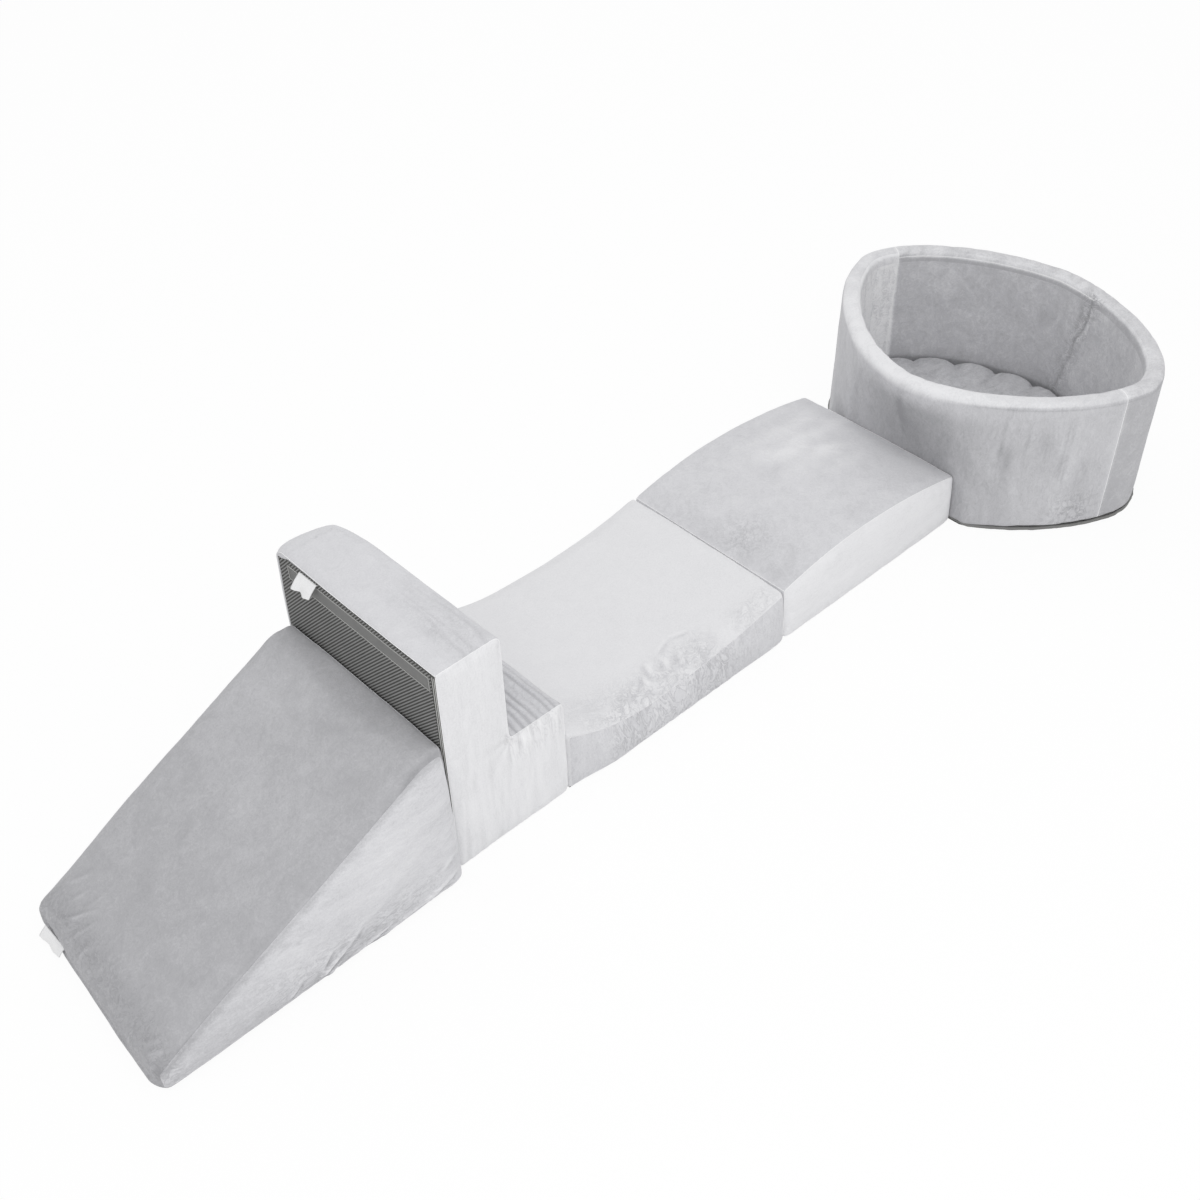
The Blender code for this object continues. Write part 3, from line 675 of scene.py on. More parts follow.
def settle(piece, box, section, ring, shape):
    """Gives a block's cover its crown, slack and folds, and marks them for the finish."""
    low, high = box
    points, normals = read_points(piece)
    uv = section(points)
    across = np.minimum(points[:, 1] - low.y, high.y - points[:, 1])
    on_side = eased(0.6, 0.9, np.abs(normals[:, 1]))
    bulge = COVER_CROWN * (on_side * eased(0, 0.09, edge_distance(uv, ring))
                           + (1 - on_side) * eased(0, 0.16, across))
    slack = 0.0008 * wander(points, 0.075, 3) + 0.0004 * wander(points, 0.028, 4)
    height = top_line(ring, uv[:, 0])
    local = points - np.array(low)
    fold, shift, nap_and_painted_light, crumpled = shape(local, normals, height - uv[:, 1], height)
    base = np.clip(1 - uv[:, 1] / TURNED_IN, 0, 1) * (1 - on_side)
    lift = (bulge + slack + fold) * (1 - base)
    mark(piece, fold / DEEP_FOLD, nap_and_painted_light, crumpled)
    return points + normals * lift[:, None] + shift, base, across, uv


def seated(piece, module, slot, *solids):
    """A piece that rides on its module, in place of CAD solids if it names any; its slot is not
    used.
    """
    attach(piece, module)
    if solids:
        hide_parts(*solids)
    return piece


def dressed(piece, module, slot, *solids, fill=0.9):
    """A padded cover, in place of its module's CAD cover and the solids inside."""
    seated(piece, module, slot, module + "_cover", *solids)
    return piece


def made_block(module, slot, corners, legs, finishes, shape, edge, seam_row, cross_legs,
               upright=False, toe=0.0):
    """One finished cover in its CAD box, resting on or facing its base.

    Its ends keep to the box, where neighbours touch, save for how far a toe may reach out.
    """
    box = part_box(module + "_cover")
    low, high = box

    def stand(u, v, y):
        return (low.x + v, y, low.z + u) if upright else (low.x + u, y, low.z + v)

    def section(points):
        sides = np.column_stack([points[:, 0] - low.x, points[:, 2] - low.z])
        return sides[:, ::-1] if upright else sides

    piece = block_skin(module + "_velvet_cover", corners, legs, low.y, high.y, stand, finishes,
                       edge, seam_row, cross_legs)
    points = read_points(piece)[0]
    sewn = np.empty(len(points))
    piece.data.attributes["seam"].data.foreach_get("value", sewn)
    held = np.maximum(sewn, section(points)[:, 1] < SEWN_FOOT)
    puffed(piece, held, pressure=2.5, cap=0.0045, slack=0.006)
    subdivided(piece)
    ring = ring_of(corners, legs)
    moved, base, across, uv = settle(piece, box, section, ring, shape)
    length = ring[:, 0].max()
    inside = np.minimum(across, np.minimum(uv[:, 0], length - uv[:, 0]))
    sunk = base * eased(TURNED_IN, SEWN_FOOT, inside) * RECESS
    moved[:, 0 if upright else 2] += sunk
    moved[:, 0] = np.clip(moved[:, 0], low.x - toe, high.x)
    moved[:, 2] = np.maximum(moved[:, 2], 0)
    write_points(piece, moved)
    return dressed(piece, module, slot, module + "_foam_core")


# Folds at the foot of the ramp's near side, as (x, z, x, z, width, lift) from its low corner
RAMP_FOOT_FOLDS = (
    (0.735, 0.055, 0.637, 0.026, 0.0060, 0.0045), (0.722, 0.034, 0.535, 0.019, 0.0055, 0.0050),
    (0.700, 0.018, 0.496, 0.008, 0.0045, 0.0040), (0.560, 0.040, 0.455, 0.016, 0.0060, 0.0040),
    (0.436, 0.066, 0.365, 0.016, 0.0060, 0.0045), (0.420, 0.030, 0.385, 0.006, 0.0045, 0.0040),
    (0.404, 0.089, 0.372, 0.045, 0.0050, 0.0030), (0.480, 0.100, 0.420, 0.050, 0.0070, 0.0025),
    (0.330, 0.060, 0.290, 0.020, 0.0060, 0.0025), (0.735, 0.120, 0.690, 0.090, 0.0080, 0.0020),
)
# Wrinkles at the ramp's low far corner, as (x, y, x, y, width, lift)
RAMP_TOE_FOLDS = (
    (0.020, 0.452, 0.096, 0.384, 0.0046, 0.0022), (0.040, 0.478, 0.100, 0.446, 0.0050, 0.0017),
    (0.010, 0.400, 0.080, 0.366, 0.0046, 0.0018), (0.072, 0.512, 0.128, 0.470, 0.0055, 0.0014),
    (0.060, 0.420, 0.130, 0.400, 0.0060, 0.0012), (0.010, 0.350, 0.045, 0.338, 0.0050, 0.0014),
    (0.012, 0.030, 0.048, 0.012, 0.0055, 0.0020), (0.022, 0.052, 0.052, 0.030, 0.0055, 0.0015),
)
# Folds of the dip's top by its near edge, two sunk and four raised, as (x, y, x, y, width, lift)
DIP_TOP_FOLDS = (
    (0.390, 0.094, 0.450, 0.113, 0.0050, -0.0022), (0.445, 0.113, 0.500, 0.092, 0.0050, -0.0022),
    (0.330, 0.050, 0.352, 0.098, 0.0070, 0.0030), (0.300, 0.034, 0.318, 0.076, 0.0070, 0.0030),
    (0.372, 0.040, 0.398, 0.082, 0.0070, 0.0030), (0.415, 0.030, 0.440, 0.070, 0.0060, 0.0025),
)


def facing(normals):
    """How far points belong to the near side and to the top."""
    return eased(0.5, 0.9, -normals[:, 1]), eased(0.5, 0.85, normals[:, 2])


def ramp_shape(local, normals, below, height):
    """Full sides, folds along the near foot, and wrinkles round the low end."""
    near, top = facing(normals)
    a, b, c = local.T
    fold = near * line_folds(local[:, [0, 2]], RAMP_FOOT_FOLDS)
    fold += (1 - near) * line_folds(local[:, :2], RAMP_TOE_FOLDS) * eased(0.01, 0.03, c)
    # a worn foot, and a near side darker along its top seam and at its low end
    worn = near * zone(a, 0.26, 0.68, 0.08) * (1 - eased(0.05, 0.16, c))
    fold -= 0.0010 * worn * creased(local, (0.045, 1, 0.022), 11)
    toe = 1 - eased(0.03, 0.09, a)
    nap_and_painted_light = near * (-0.7 * (1 - eased(0.012, 0.036, below)) - 0.35 * (1 - eased(0.1, 0.4, a)))
    swept = 0.6 + 0.9 * wander(local, (0.16, 0.05, 1), 19)
    nap_and_painted_light += near * (0.35 * swept * zone(a, 0.30, 0.62, 0.12) * zone(below, 0.06, 0.2, 0.04)
                       - 0.30 * zone(a, 0.20, 0.60, 0.1) * (1 - eased(0.02, 0.12, c)))
    nap_and_painted_light += 0.35 * top * blob(local[:, :2], (0.60, 0.42), (0.22, 0.13))
    nap_and_painted_light += 0.25 * top * blob(local[:, :2], (0.42, 0.20), (0.16, 0.10)) - 0.40 * toe * top
    shift = swollen_sides(local, below, height, 0.034, 0.007, (0.03, 0.055))
    # the whole module lies a little askew: its low near corner reaches further out
    askew = np.clip(1 - b / 0.52, 0, 1) * (1 - eased(0.0, 0.60, a))
    shift[:, 0] -= 0.043 * askew
    shift[:, 1] += 0.011 * eased(0.30, 0.55, b) * eased(0.04, 0.30, a)
    end = local[:, 0].max() - a
    shift[:, 1] += near * (0.014 * (1 - rounded_end(end / 0.030)) * eased(0.05, 0.35, c)
                           + 0.010 * (1 - rounded_end(a / 0.030)))
    tip = (1 - eased(0.0, 0.025, a)) * (1 - eased(0.0, 0.025, b))
    shift[:, 0] += 0.006 * tip
    return fold, shift, nap_and_painted_light, 0.55 * worn + 0.45 * toe + 0.10


def stair_end(up):
    """How far the stair block's far end swells out at its base, by height."""
    return 0.023 * eased(0.0, 0.30, up) - 0.006 * eased(0.45, 0.60, up)


def stair_shape(local, normals, below, height):
    """Pleats on the low tread, gathers round the notch and a domed far end."""
    near, top = facing(normals)
    a, b, c = local.T
    # deep pleats across the low tread, fading towards the far side
    tread = top * (1 - eased(0.33, 0.36, c))
    wavy = a + 0.005 * wander(local, (0.05, 0.16, 0.3), 5) + 0.0016 * wander(local, 0.05, 6)
    uneven = 0.55 + 0.75 * wander(local, (0.022, 0.22, 1), 7)
    strength = tread * (0.45 + 0.55 * (1 - eased(0.10, 0.50, b))) * np.clip(uneven, 0.1, 1.3)
    pleats = strength * puckers(wavy, 0.0185)
    fold = -0.0050 * pleats
    # pulled lines on the high end, gathers by the notch, and strokes down the near side
    high = top * eased(0.55, 0.60, c)
    pulled = high * zone(a, 0.060, 0.180, 0.03) * (1 - eased(0.10, 0.34, b))
    fold -= 0.0016 * pulled * creased(local, (0.016, 0.16, 1), 20)
    gathers = near * zone(a, 0.17, 0.345, 0.012) * zone(c, 0.225, 0.31, 0.02)
    fold += 0.0026 * gathers * wander(local, (0.009, 1, 0.10), 8)
    notch = local[:, [0, 2]] - np.array((STAIR_LOW_STEP, STAIR_HIGH_TREAD))
    spread = np.arctan2(notch[:, 1], notch[:, 0])
    reach = np.linalg.norm(notch, axis=1)
    fold += 0.0022 * near * np.sin(spread * 8) * np.exp(-reach / 0.035) * eased(0, 0.01, reach)
    strokes = near * (0.25 + 0.75 * (1 - eased(0.20, 0.45, c)))
    fold += 0.0013 * strokes * wander(local, (0.012, 1, 0.10), 9)
    seam_pull = near * zone(c, 0.585, 0.62, 0.008)
    fold += 0.0010 * seam_pull * wander(local, (0.010, 1, 0.04), 10)
    # painted shade in the pleats' valleys; the low tread and the pulled part of the high end are
    # darker as well
    nap_and_painted_light = -0.25 * tread - 0.55 * pleats - 0.20 * pulled

    # the far end's upper edges are rounded off, and it swells out under a domed top
    moved = local.copy()
    far = local[:, 1].max() - b
    across = np.clip(a / STAIR_LOW_STEP, 0, 1)
    arch = np.maximum(np.sin(math.pi * across ** 0.50), 0)
    upper = c > 0.32
    sides = (STAIR_LOW_STEP, BLOCK_WIDTH, STAIR_LENGTH)
    for first, second, radius in ((1, 0, 0.012 + 0.088 * eased(0.34, 0.58, c)),
                                  (0, 2, 0.020 + 0.024 * eased(0.36, 0.55, b)),
                                  (1, 2, 0.034 + 0.014 * arch)):
        over = np.column_stack([moved[:, first] - sides[first] + radius,
                                moved[:, second] - sides[second] + radius])
        length = np.linalg.norm(np.maximum(over, 0), axis=1)
        cut = upper & (over.min(axis=1) > 0) & (length > radius)
        share = np.where(cut, radius / np.maximum(length, 1e-9), 1.0)
        for column, axis in enumerate((first, second)):
            moved[:, axis] += np.where(cut, over[:, column] * (share - 1), 0)
    swell = (1 - eased(0, 0.12, far)) * (stair_end(c) + 0.020 * arch * eased(0.1, 0.5, c))
    moved[:, 1] += swell
    moved[:, 2] += 0.013 * arch * eased(0.30, 0.56, b) * eased(0.50, 0.61, c)
    crumpled = 0.35 * tread + 0.5 * gathers + 0.30 * pulled + 0.15 * near
    return fold, moved - local, nap_and_painted_light, crumpled


def dip_shape(local, normals, below, height):
    """Full sides, and a top that is crumpled along the middle of its near edge."""
    near, top = facing(normals)
    a, b = local.T[:2]
    # crumpled cloth in the middle, creases at both ends, and strokes down the near side
    middle = zone(a, 0.14, 0.52, 0.05) * (1 - eased(0.020, 0.115 * eased(0.12, 0.30, a) + 0.02, b))
    fold = line_folds(local[:, :2], DIP_TOP_FOLDS) * (1 - near)
    fold -= 0.0020 * middle * creased(local, (0.040, 0.020, 0.1), 12, 35) * (0.4 + 0.6 * top)
    corner = top * zone(a, 0.585, 0.735, 0.03) * (1 - eased(0.03, 0.09, b))
    fold -= 0.0012 * corner * creased(local, (0.070, 0.018, 0.2), 13, 12)
    start = top * zone(a, 0.05, 0.26, 0.04) * (1 - eased(0.06, 0.17, b))
    fold -= 0.0008 * start * creased(local, (0.08, 0.020, 0.2), 14, -8)
    strokes = near * zone(a, 0.20, 0.60, 0.08)
    fold -= 0.0008 * strokes * creased(local, (0.016, 1, 0.07), 15)
    swept = wander(local, (0.07, 0.03, 0.05), 24)
    # painted shade down the near side where it meets the stair block; the near side is paler in its
    # middle, and the top darker where it is crumpled
    nap_and_painted_light = -0.30 * near * (1 - eased(0, 0.05, a)) + 0.20 * near * zone(a, 0.25, 0.5, 0.05)
    nap_and_painted_light -= np.maximum(middle, 0.6 * start + 0.5 * corner) * (0.12 + 0.20 * swept) * top
    # a painted highlight along the top's edge at the join with the next block
    nap_and_painted_light += 1.6 * top * (1 - eased(0.003, 0.009, a.max() - a))
    # its low end stands a little askew, so its far edge shows beyond the stair block's
    full = 0.017 * eased(0.0, 0.16, a)
    shift = swollen_sides(local, below, height, full, 0.008, (0.004, 0.045))
    shift[:, 1] += eased(0.25, 0.55, b) * (0.028 - 0.022 * eased(0.10, 0.70, a))
    shift[:, 2] += 0.003 * eased(0.30, 0.52, b) * top * zone(a, 0.0, 0.40, 0.10)
    crumpled = 0.75 * middle + 0.55 * corner + 0.45 * start + 0.25 * near + 0.3 * strokes
    return fold, shift, nap_and_painted_light, crumpled


def crest_shape(local, normals, below, height):
    """A crisp block, darker by the join and paler over its crest."""
    near, top = facing(normals)
    a, b = local.T[:2]
    # a few small wrinkles by the join, and one broad pale stroke over the crest
    small = top * blob(local[:, :2], (0.07, 0.20), (0.06, 0.06))
    fold = -0.0016 * small * creased(local, (0.020, 0.014, 0.2), 16, 20)
    fold += 0.0006 * near * wander(local, (0.10, 1, 0.03), 17)
    swept = blob(local[:, :2], (0.50, 0.36), (0.20, 0.13))
    swept = swept * (0.6 + 0.8 * wander(local, (0.10, 0.05, 1), 18))
    nap_and_painted_light = top * (1.1 * swept - 0.22 * (1 - eased(0.0, 0.18, a + 0.25 * b - 0.05)))
    shift = swollen_sides(local, below, height, 0.012, 0.004, (0.03, 0.05))
    return fold, shift, nap_and_painted_light, 0.5 * small + 0.08


ramp_low, ramp_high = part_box("ramp_cover")
ramp_length = ramp_high.x - ramp_low.x
RAMP_CORNERS = [
    (0, 0, FOOT_ROUNDING), (ramp_length, 0, FOOT_ROUNDING), (ramp_length, ramp_high.z, 0.016),
    (ramp_length - RAMP_LANDING, ramp_high.z, 0.110), (0, RAMP_TOE_HEIGHT, 0.030),
]
ramp_cover = made_block("ramp", "ramp_velvet", RAMP_CORNERS,
                        [(0, 1, 68), (1, 2, 30), (2, 4, 68), (4, 0, 30)], [RAMP_TOP, RAMP_SIDE],
                        ramp_shape, 0.018, 1, (2,), toe=0.045)

stair_low, stair_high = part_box("stair_cover")
stair_depth = stair_high.x - stair_low.x
STAIR_CORNERS = [
    (0, stair_depth, 0.016), (0, 0, FOOT_ROUNDING), (stair_high.z, 0, FOOT_ROUNDING),
    (stair_high.z, STAIR_LOW_STEP, 0.020), (STAIR_HIGH_TREAD, STAIR_LOW_STEP, 0.012),
    (STAIR_HIGH_TREAD, stair_depth, 0.018),
]
stair_cover = made_block("stair", "velvet", STAIR_CORNERS,
                         [(0, 1, 40), (1, 2, 54), (2, 3, 20), (3, 4, 54), (4, 5, 40), (5, 0, 20)],
                         [STAIR_TOP, STAIR_SIDE], stair_shape, 0.008, 3, (1, 2), upright=True)


def wave_block(module, heights, turn_place, finishes, shape, seam_row):
    """The cover of a wave block."""
    low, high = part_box(module + "_cover")
    corners = wave_corners(high.x - low.x, heights, turn_place)
    last = len(corners) - 1
    legs = [(0, 1, 72), (1, 2, 17), (2, last, 72), (last, 0, 17)]
    return made_block(module, "velvet", corners, legs, finishes, shape, 0.010, seam_row, (2, 3))


dip_cover = wave_block("wave_dip", DIP_HEIGHTS, DIP_VALLEY_PLACE, [DIP_TOP, DIP_SIDE],
                       dip_shape, 1)
crest_cover = wave_block("wave_crest", CREST_HEIGHTS, CREST_PEAK_PLACE,
                         [CREST_TOP, CREST_SIDE], crest_shape, 3)


# Cords, ribs and stitches, grown by Geometry Nodes

def tree_of(name, *sizes):
    """An empty Geometry Nodes tree with one mesh in, one mesh out and named sizes."""
    tree = bpy.data.node_groups.new(name, "GeometryNodeTree")
    tree.interface.new_socket("Path", in_out="INPUT", socket_type="NodeSocketGeometry")
    for size in sizes:
        kind = "NodeSocketVector" if size.endswith("Direction") else "NodeSocketFloat"
        tree.interface.new_socket(size, in_out="INPUT", socket_type=kind)
    tree.interface.new_socket("Made", in_out="OUTPUT", socket_type="NodeSocketGeometry")
    return tree, add(tree, "NodeGroupInput").outputs


def close_tree(tree, made, finish):
    """Ends a tree with real, smooth geometry in its finish."""
    real = add(tree, "GeometryNodeRealizeInstances", {0: made})
    smooth = add(tree, "GeometryNodeSetShadeSmooth", {0: real})
    painted = add(tree, "GeometryNodeSetMaterial", {0: smooth, "Material": finish})
    add(tree, "NodeGroupOutput", {0: painted})
    return tree


def tube_along(tree, path, radius, sides, capped):
    """A round tube along a path."""
    section = add(tree, "GeometryNodeCurvePrimitiveCircle", {"Resolution": sides,
                                                             "Radius": radius})
    return add(tree, "GeometryNodeCurveToMesh", {"Curve": path, "Profile Curve": section,
                                                 "Fill Caps": capped})


def ridge_tree(finish):
    """Lays a round ridge along the edges of a cloth that are marked as its seam."""
    tree, given = tree_of("seam_ridge", "Ridge Radius")
    sewn = add(tree, "GeometryNodeInputNamedAttribute", {"Name": "seam"}, data_type="FLOAT")
    full = add(tree, "FunctionNodeCompare", {0: sewn, 1: 0.9}, operation="GREATER_THAN")
    path = add(tree, "GeometryNodeMeshToCurve", {"Mesh": given[0], "Selection": full})
    return close_tree(tree, tube_along(tree, path, given[1], 6, False), finish)


def rib_tree(finish):
    """Turns single edges into round ribs with closed ends."""
    tree, given = tree_of("grip_ribs", "Rib Radius")
    path = add(tree, "GeometryNodeMeshToCurve", {"Mesh": given[0]})
    return close_tree(tree, tube_along(tree, path, given[1], 8, True), finish)


def stitch_tree(finish):
    """Sets bowed stitches at even distances along a path, their backs to the cloth."""
    tree, given = tree_of("stitches", "Stitch Pitch", "Stitch Length", "Thread Radius",
                          "Cloth Direction")
    path = add(tree, "GeometryNodeMeshToCurve", {"Mesh": given[0]})
    steps = add(tree, "GeometryNodeResampleCurve", {"Curve": path, "Length": given[1]},
                mode="LENGTH")
    ends = []
    for share in (-0.5, 0.5):
        reach = add(tree, "ShaderNodeMath", {0: given[2], 1: share}, operation="MULTIPLY")
        ends.append(add(tree, "ShaderNodeCombineXYZ", {0: reach}))
    rise = add(tree, "ShaderNodeCombineXYZ", {2: given[3]})
    bow = add(tree, "GeometryNodeCurveQuadraticBezier", {
        "Resolution": 4, "Start": ends[0], "Middle": rise, "End": ends[1]})
    stitch = tube_along(tree, bow, given[3], 6, True)
    tangent = add(tree, "GeometryNodeInputTangent")
    along = add(tree, "FunctionNodeAlignRotationToVector", {"Vector": tangent}, axis="X")
    upright = add(tree, "FunctionNodeAlignRotationToVector", {
        "Rotation": along, "Vector": given[4]}, axis="Z", pivot_axis="X")
    placed = add(tree, "GeometryNodeInstanceOnPoints", {
        "Points": steps, "Instance": stitch, "Rotation": upright})
    return close_tree(tree, placed, finish)


def grown(name, tree, mesh, module, slot, **sizes):
    """The plain mesh object that a tree makes from a mesh, riding on its module."""
    holder = bpy.data.objects.new(name, mesh)
    maker = holder.modifiers.new(name, "NODES")
    maker.node_group = tree
    named = {size.replace("_", " ").title(): value for size, value in sizes.items()}
    for socket in tree.interface.items_tree:
        if socket.in_out == "INPUT" and socket.name in named:
            maker[socket.identifier] = named[socket.name]
    scene.collection.objects.link(holder)
    return seated(applied(holder), module, slot)


def wire(name, paths, closed=False):
    """A mesh of bare edges along each path."""
    points = []
    edges = []
    for path in paths:
        first = len(points)
        points += [tuple(point) for point in path]
        edges += [(first + step, first + step + 1) for step in range(len(path) - 1)]
        if closed:
            edges.append((len(points) - 1, first))
    mesh = bpy.data.meshes.new(name)
    mesh.from_pydata(points, edges, [])
    return mesh


RIDGES = ridge_tree(SEAM_PAINTED_HIGHLIGHT)
RIBS = rib_tree(GRIP_RIB)
CORDS = rib_tree(THREAD)
HEMS = rib_tree(ZIP_STRIP)
STITCHES = stitch_tree(THREAD)


def add_ridge(cover, module, slot, radius, tree=RIDGES):
    """The raised seam along a cover's marked edges."""
    grown(module + "_seam_ridge", tree, cover.data, module, slot, ridge_radius=radius)


add_ridge(ramp_cover, "ramp", "ramp_velvet", 0.0007, ridge_tree(RAMP_SIDE))
add_ridge(stair_cover, "stair", "velvet", 0.0008)
add_ridge(dip_cover, "wave_dip", "velvet", 0.0007, ridge_tree(DIP_TOP))
add_ridge(crest_cover, "wave_crest", "velvet", 0.0008)


# Base cloths, with their ribs, zip strips and stitches

def lines_across(outline, pitch, slant):
    """Slanting lines at an even pitch, cut to a closed outline."""
    along = np.array([math.cos(slant), math.sin(slant)])
    across = np.array([-along[1], along[0]])
    starts = np.asarray(outline)
    ends = np.roll(starts, -1, axis=0)
    lines = []
    offset = (starts @ across).min() + pitch
    while offset < (starts @ across).max() - pitch / 2:
        before = starts @ across - offset
        after = ends @ across - offset
        crossing = before * after < 0
        share = (before / (before - after))[crossing][:, None]
        met = starts[crossing] + (ends - starts)[crossing] * share
        met = met[np.argsort(met @ along)]
        lines += [(met[index], met[index + 1]) for index in range(0, len(met) - 1, 2)]
        offset += pitch
    return lines


def flat_cloth(name, outline, lie, depth, thickness, finish, rings=12, swell=0.00015):
    """A closed thin cloth over an outline, drawn in rings to its middle, hardly rippled."""
    middle = (outline.min(0) + outline.max(0)) / 2
    count = len(outline)
    points = []
    for side in (0, 1):
        for ring in range(rings):
            place = middle + (outline - middle) * (1 - ring / rings)
            ripple = swell * wander(np.column_stack([place, place[:, 0]]), 0.03, side)
            points += [lie(a, b, depth + thickness * side + r)
                       for (a, b), r in zip(place, ripple)]
        points.append(lie(middle[0], middle[1], depth + thickness * side))
    faces = []
    layer = rings * count + 1
    for first in (0, layer):
        for ring in range(rings - 1):
            faces += band_faces(first + ring * count, first + (ring + 1) * count, count)
        row = first + (rings - 1) * count
        faces += [(row + step, row + (step + 1) % count, first + layer - 1)
                  for step in range(count)]
    faces += band_faces(0, layer, count)
    return piece_of(name, points, faces, [finish])


def rectangle(low, high, step):
    """A rectangle's outline with points at about a step."""
    corners = [(low[0], low[1], 0), (high[0], low[1], 0), (high[0], high[1], 0),
               (low[0], high[1], 0)]
    legs = [(side, (side + 1) % 4, max(2, round((high[side % 2] - low[side % 2]) / step)))
            for side in range(4)]
    return ring_of(corners, legs)


def add_grip_cloth(module, outline, lie, rib_start=None, rib_inset=0.004):
    """The grip cloth under one module, with its ribs."""
    cloth = flat_cloth(module + "_grip_cloth", outline, lie, CLOTH_DEPTH, CLOTH_THICKNESS,
                       GRIP_CLOTH)
    seated(cloth, module, "base_cloth", module + "_base_cloth")
    ribbed = outline.copy()
    if rib_start is not None:
        ribbed[:, 1] = np.maximum(ribbed[:, 1], rib_start)
    lines = [[lie(*(start + (end - start) * share), RIB_DEPTH)
              for share in (rib_inset, 1 - rib_inset)]
             for start, end in lines_across(ribbed, RIB_PITCH, math.radians(RIB_SLANT))]
    ribs = grown(module + "_grip_ribs", RIBS, wire(module + "_rib_paths", lines), module,
                 "base_cloth", rib_radius=RIB_RADIUS)


def add_zip_strip(module, lie, direction, low, high):
    """The cover strip over a module's zip, with a line of stitches round it."""
    strip = flat_cloth(module + "_zip_cover_strip", rectangle(low, high, 0.010), lie,
                       STRIP_DEPTH, STRIP_THICKNESS, ZIP_STRIP, rings=5, swell=0.0001)
    seated(strip, module, "zip_strip", module + "_zip_strip")
    line = rectangle(np.asarray(low) + STRIP_HEM, np.asarray(high) - STRIP_HEM, 0.02)
    loop = [lie(a, b, STRIP_DEPTH) for a, b in line]
    stitches = grown(module + "_zip_strip_stitches", STITCHES,
                     wire(module + "_strip_path", [loop], closed=True), module, "zip_strip",
                     stitch_pitch=0.0046, stitch_length=0.0042, thread_radius=0.0006,
                     cloth_direction=direction)


def add_block_base(module, upright=False):
    """The base of a block: its cloth is drawn in from the cover's edges."""
    low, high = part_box(module + "_cover")
    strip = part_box(module + "_zip_strip")

    def lie(a, b, depth):
        return (low.x + depth, b, low.z + a) if upright else (low.x + a, b, depth)

    axis = 2 if upright else 0
    reach = high[axis] - low[axis]
    outline = rectangle((CLOTH_INSET, low.y + CLOTH_INSET),
                        (reach - CLOTH_INSET, high.y - CLOTH_INSET), 0.012)
    edging = []
    rib_start = None
    if upright:
        # the far end follows the cover's swell, and cords edge the end that shows
        far = outline[:, 1] > high.y - 0.02
        outline[:, 1] += far * stair_end(outline[:, 0])
        outline[:, 1] -= 0.0022 * (outline[:, 1] < low.y + 0.02)
        outline[far & (outline[:, 0] > reach - 0.02), 0] -= 0.012
        cords = [[lie(0.010 + (reach - 0.020) * step / 24, low.y + beside, CLOTH_DEPTH)
                  for step in range(25)] for beside in CORD_PLACES]
        rib_start = low.y + CORD_PLACES[-1] + 0.0034
        edging = [grown(module + "_base_edge_cords", CORDS, wire(module + "_cord_paths", cords),
                        module, "base_cloth", rib_radius=CORD_RADIUS)]
    add_grip_cloth(module, outline, lie, rib_start)
    add_zip_strip(module, lie, (-1, 0, 0) if upright else (0, 0, -1),
                  (strip[0][axis] - low[axis], strip[0].y),
                  (strip[1][axis] - low[axis], strip[1].y))


for module in ("ramp", "wave_dip", "wave_crest"):
    add_block_base(module)
add_block_base("stair", upright=True)
for module in ("ramp", "stair", "wave_dip", "wave_crest", "floor_pad"):
    for part, finish in (("front_tape", ZIP_TAPE), ("rear_tape", ZIP_TAPE), ("slider", PLATED)):
        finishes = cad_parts[f"{module}_zip_{part}"].data.materials
        finishes.clear()
        finishes.append(finish)


# Bare satin labels: a ribbon folded once, its two ends sewn into a seam

def folded_label(module, end, root, tip, low_y, high_y, belly, curl):
    """A ribbon from its seam out to its fold and back, bowed and curling at its corners."""
    root = Vector(root)
    tip = Vector(tip)
    along = tip - root
    out = Vector((-along.y, along.x)).normalized()
    if out.x > 0:
        out = -out
    # its two layers lie this far out from their middle, at this thickness of ribbon
    gap = 0.0007
    thick = 0.00028
    steps = 14
    line = []
    for step in range(steps + 1):
        share = step / steps
        line.append(root + along * share + out * belly * math.sin(math.pi * share))
    front = [point + out * gap for point in line[:-1]]
    turn = [line[-2] + along.normalized() * gap * 1.6 + out * gap * side
            for side in (0.8, 0.0, -0.8)]
    behind = [point - out * gap for point in reversed(line[:-1])]
    path = front + turn + behind
    inner = []
    for index, point in enumerate(path):
        ahead = path[min(index + 1, len(path) - 1)] - path[max(index - 1, 0)]
        inner.append(point + Vector((-ahead.y, ahead.x)).normalized() * thick)
    loop = path + inner[::-1]
    count = len(loop)
    columns = 24
    points = []
    for column in range(columns + 1):
        share = column / columns
        for x, z in loop:
            reach = (Vector((x, z)) - root).length / along.length
            # towards its fold the ribbon curls off the cloth, waves and leans to one side
            lift = curl * reach * reach * (0.5 + 0.5 * math.sin(share * 6.6 + 0.9))
            pull = curl * 0.5 * reach * math.sin(share * 9.5 + 2.0)
            y = low_y + (high_y - low_y) * (share + 0.05 * reach * math.sin(share * 6.3))
            points.append((x + out.x * lift - along.x * pull / along.length,
                           y, z + out.y * lift - along.y * pull / along.length))
    faces = []
    for column in range(columns):
        faces += band_faces(column * count, (column + 1) * count, count)
    for first in (0, columns * count):
        faces += [(first + step, first + step + 1, first + count - 2 - step,
                   first + count - 1 - step) for step in range(len(path) - 1)]
    label = piece_of(module + "_satin_label", points, faces, [SATIN])
    seated(label, module, "satin", f"{module}_{end}_label")


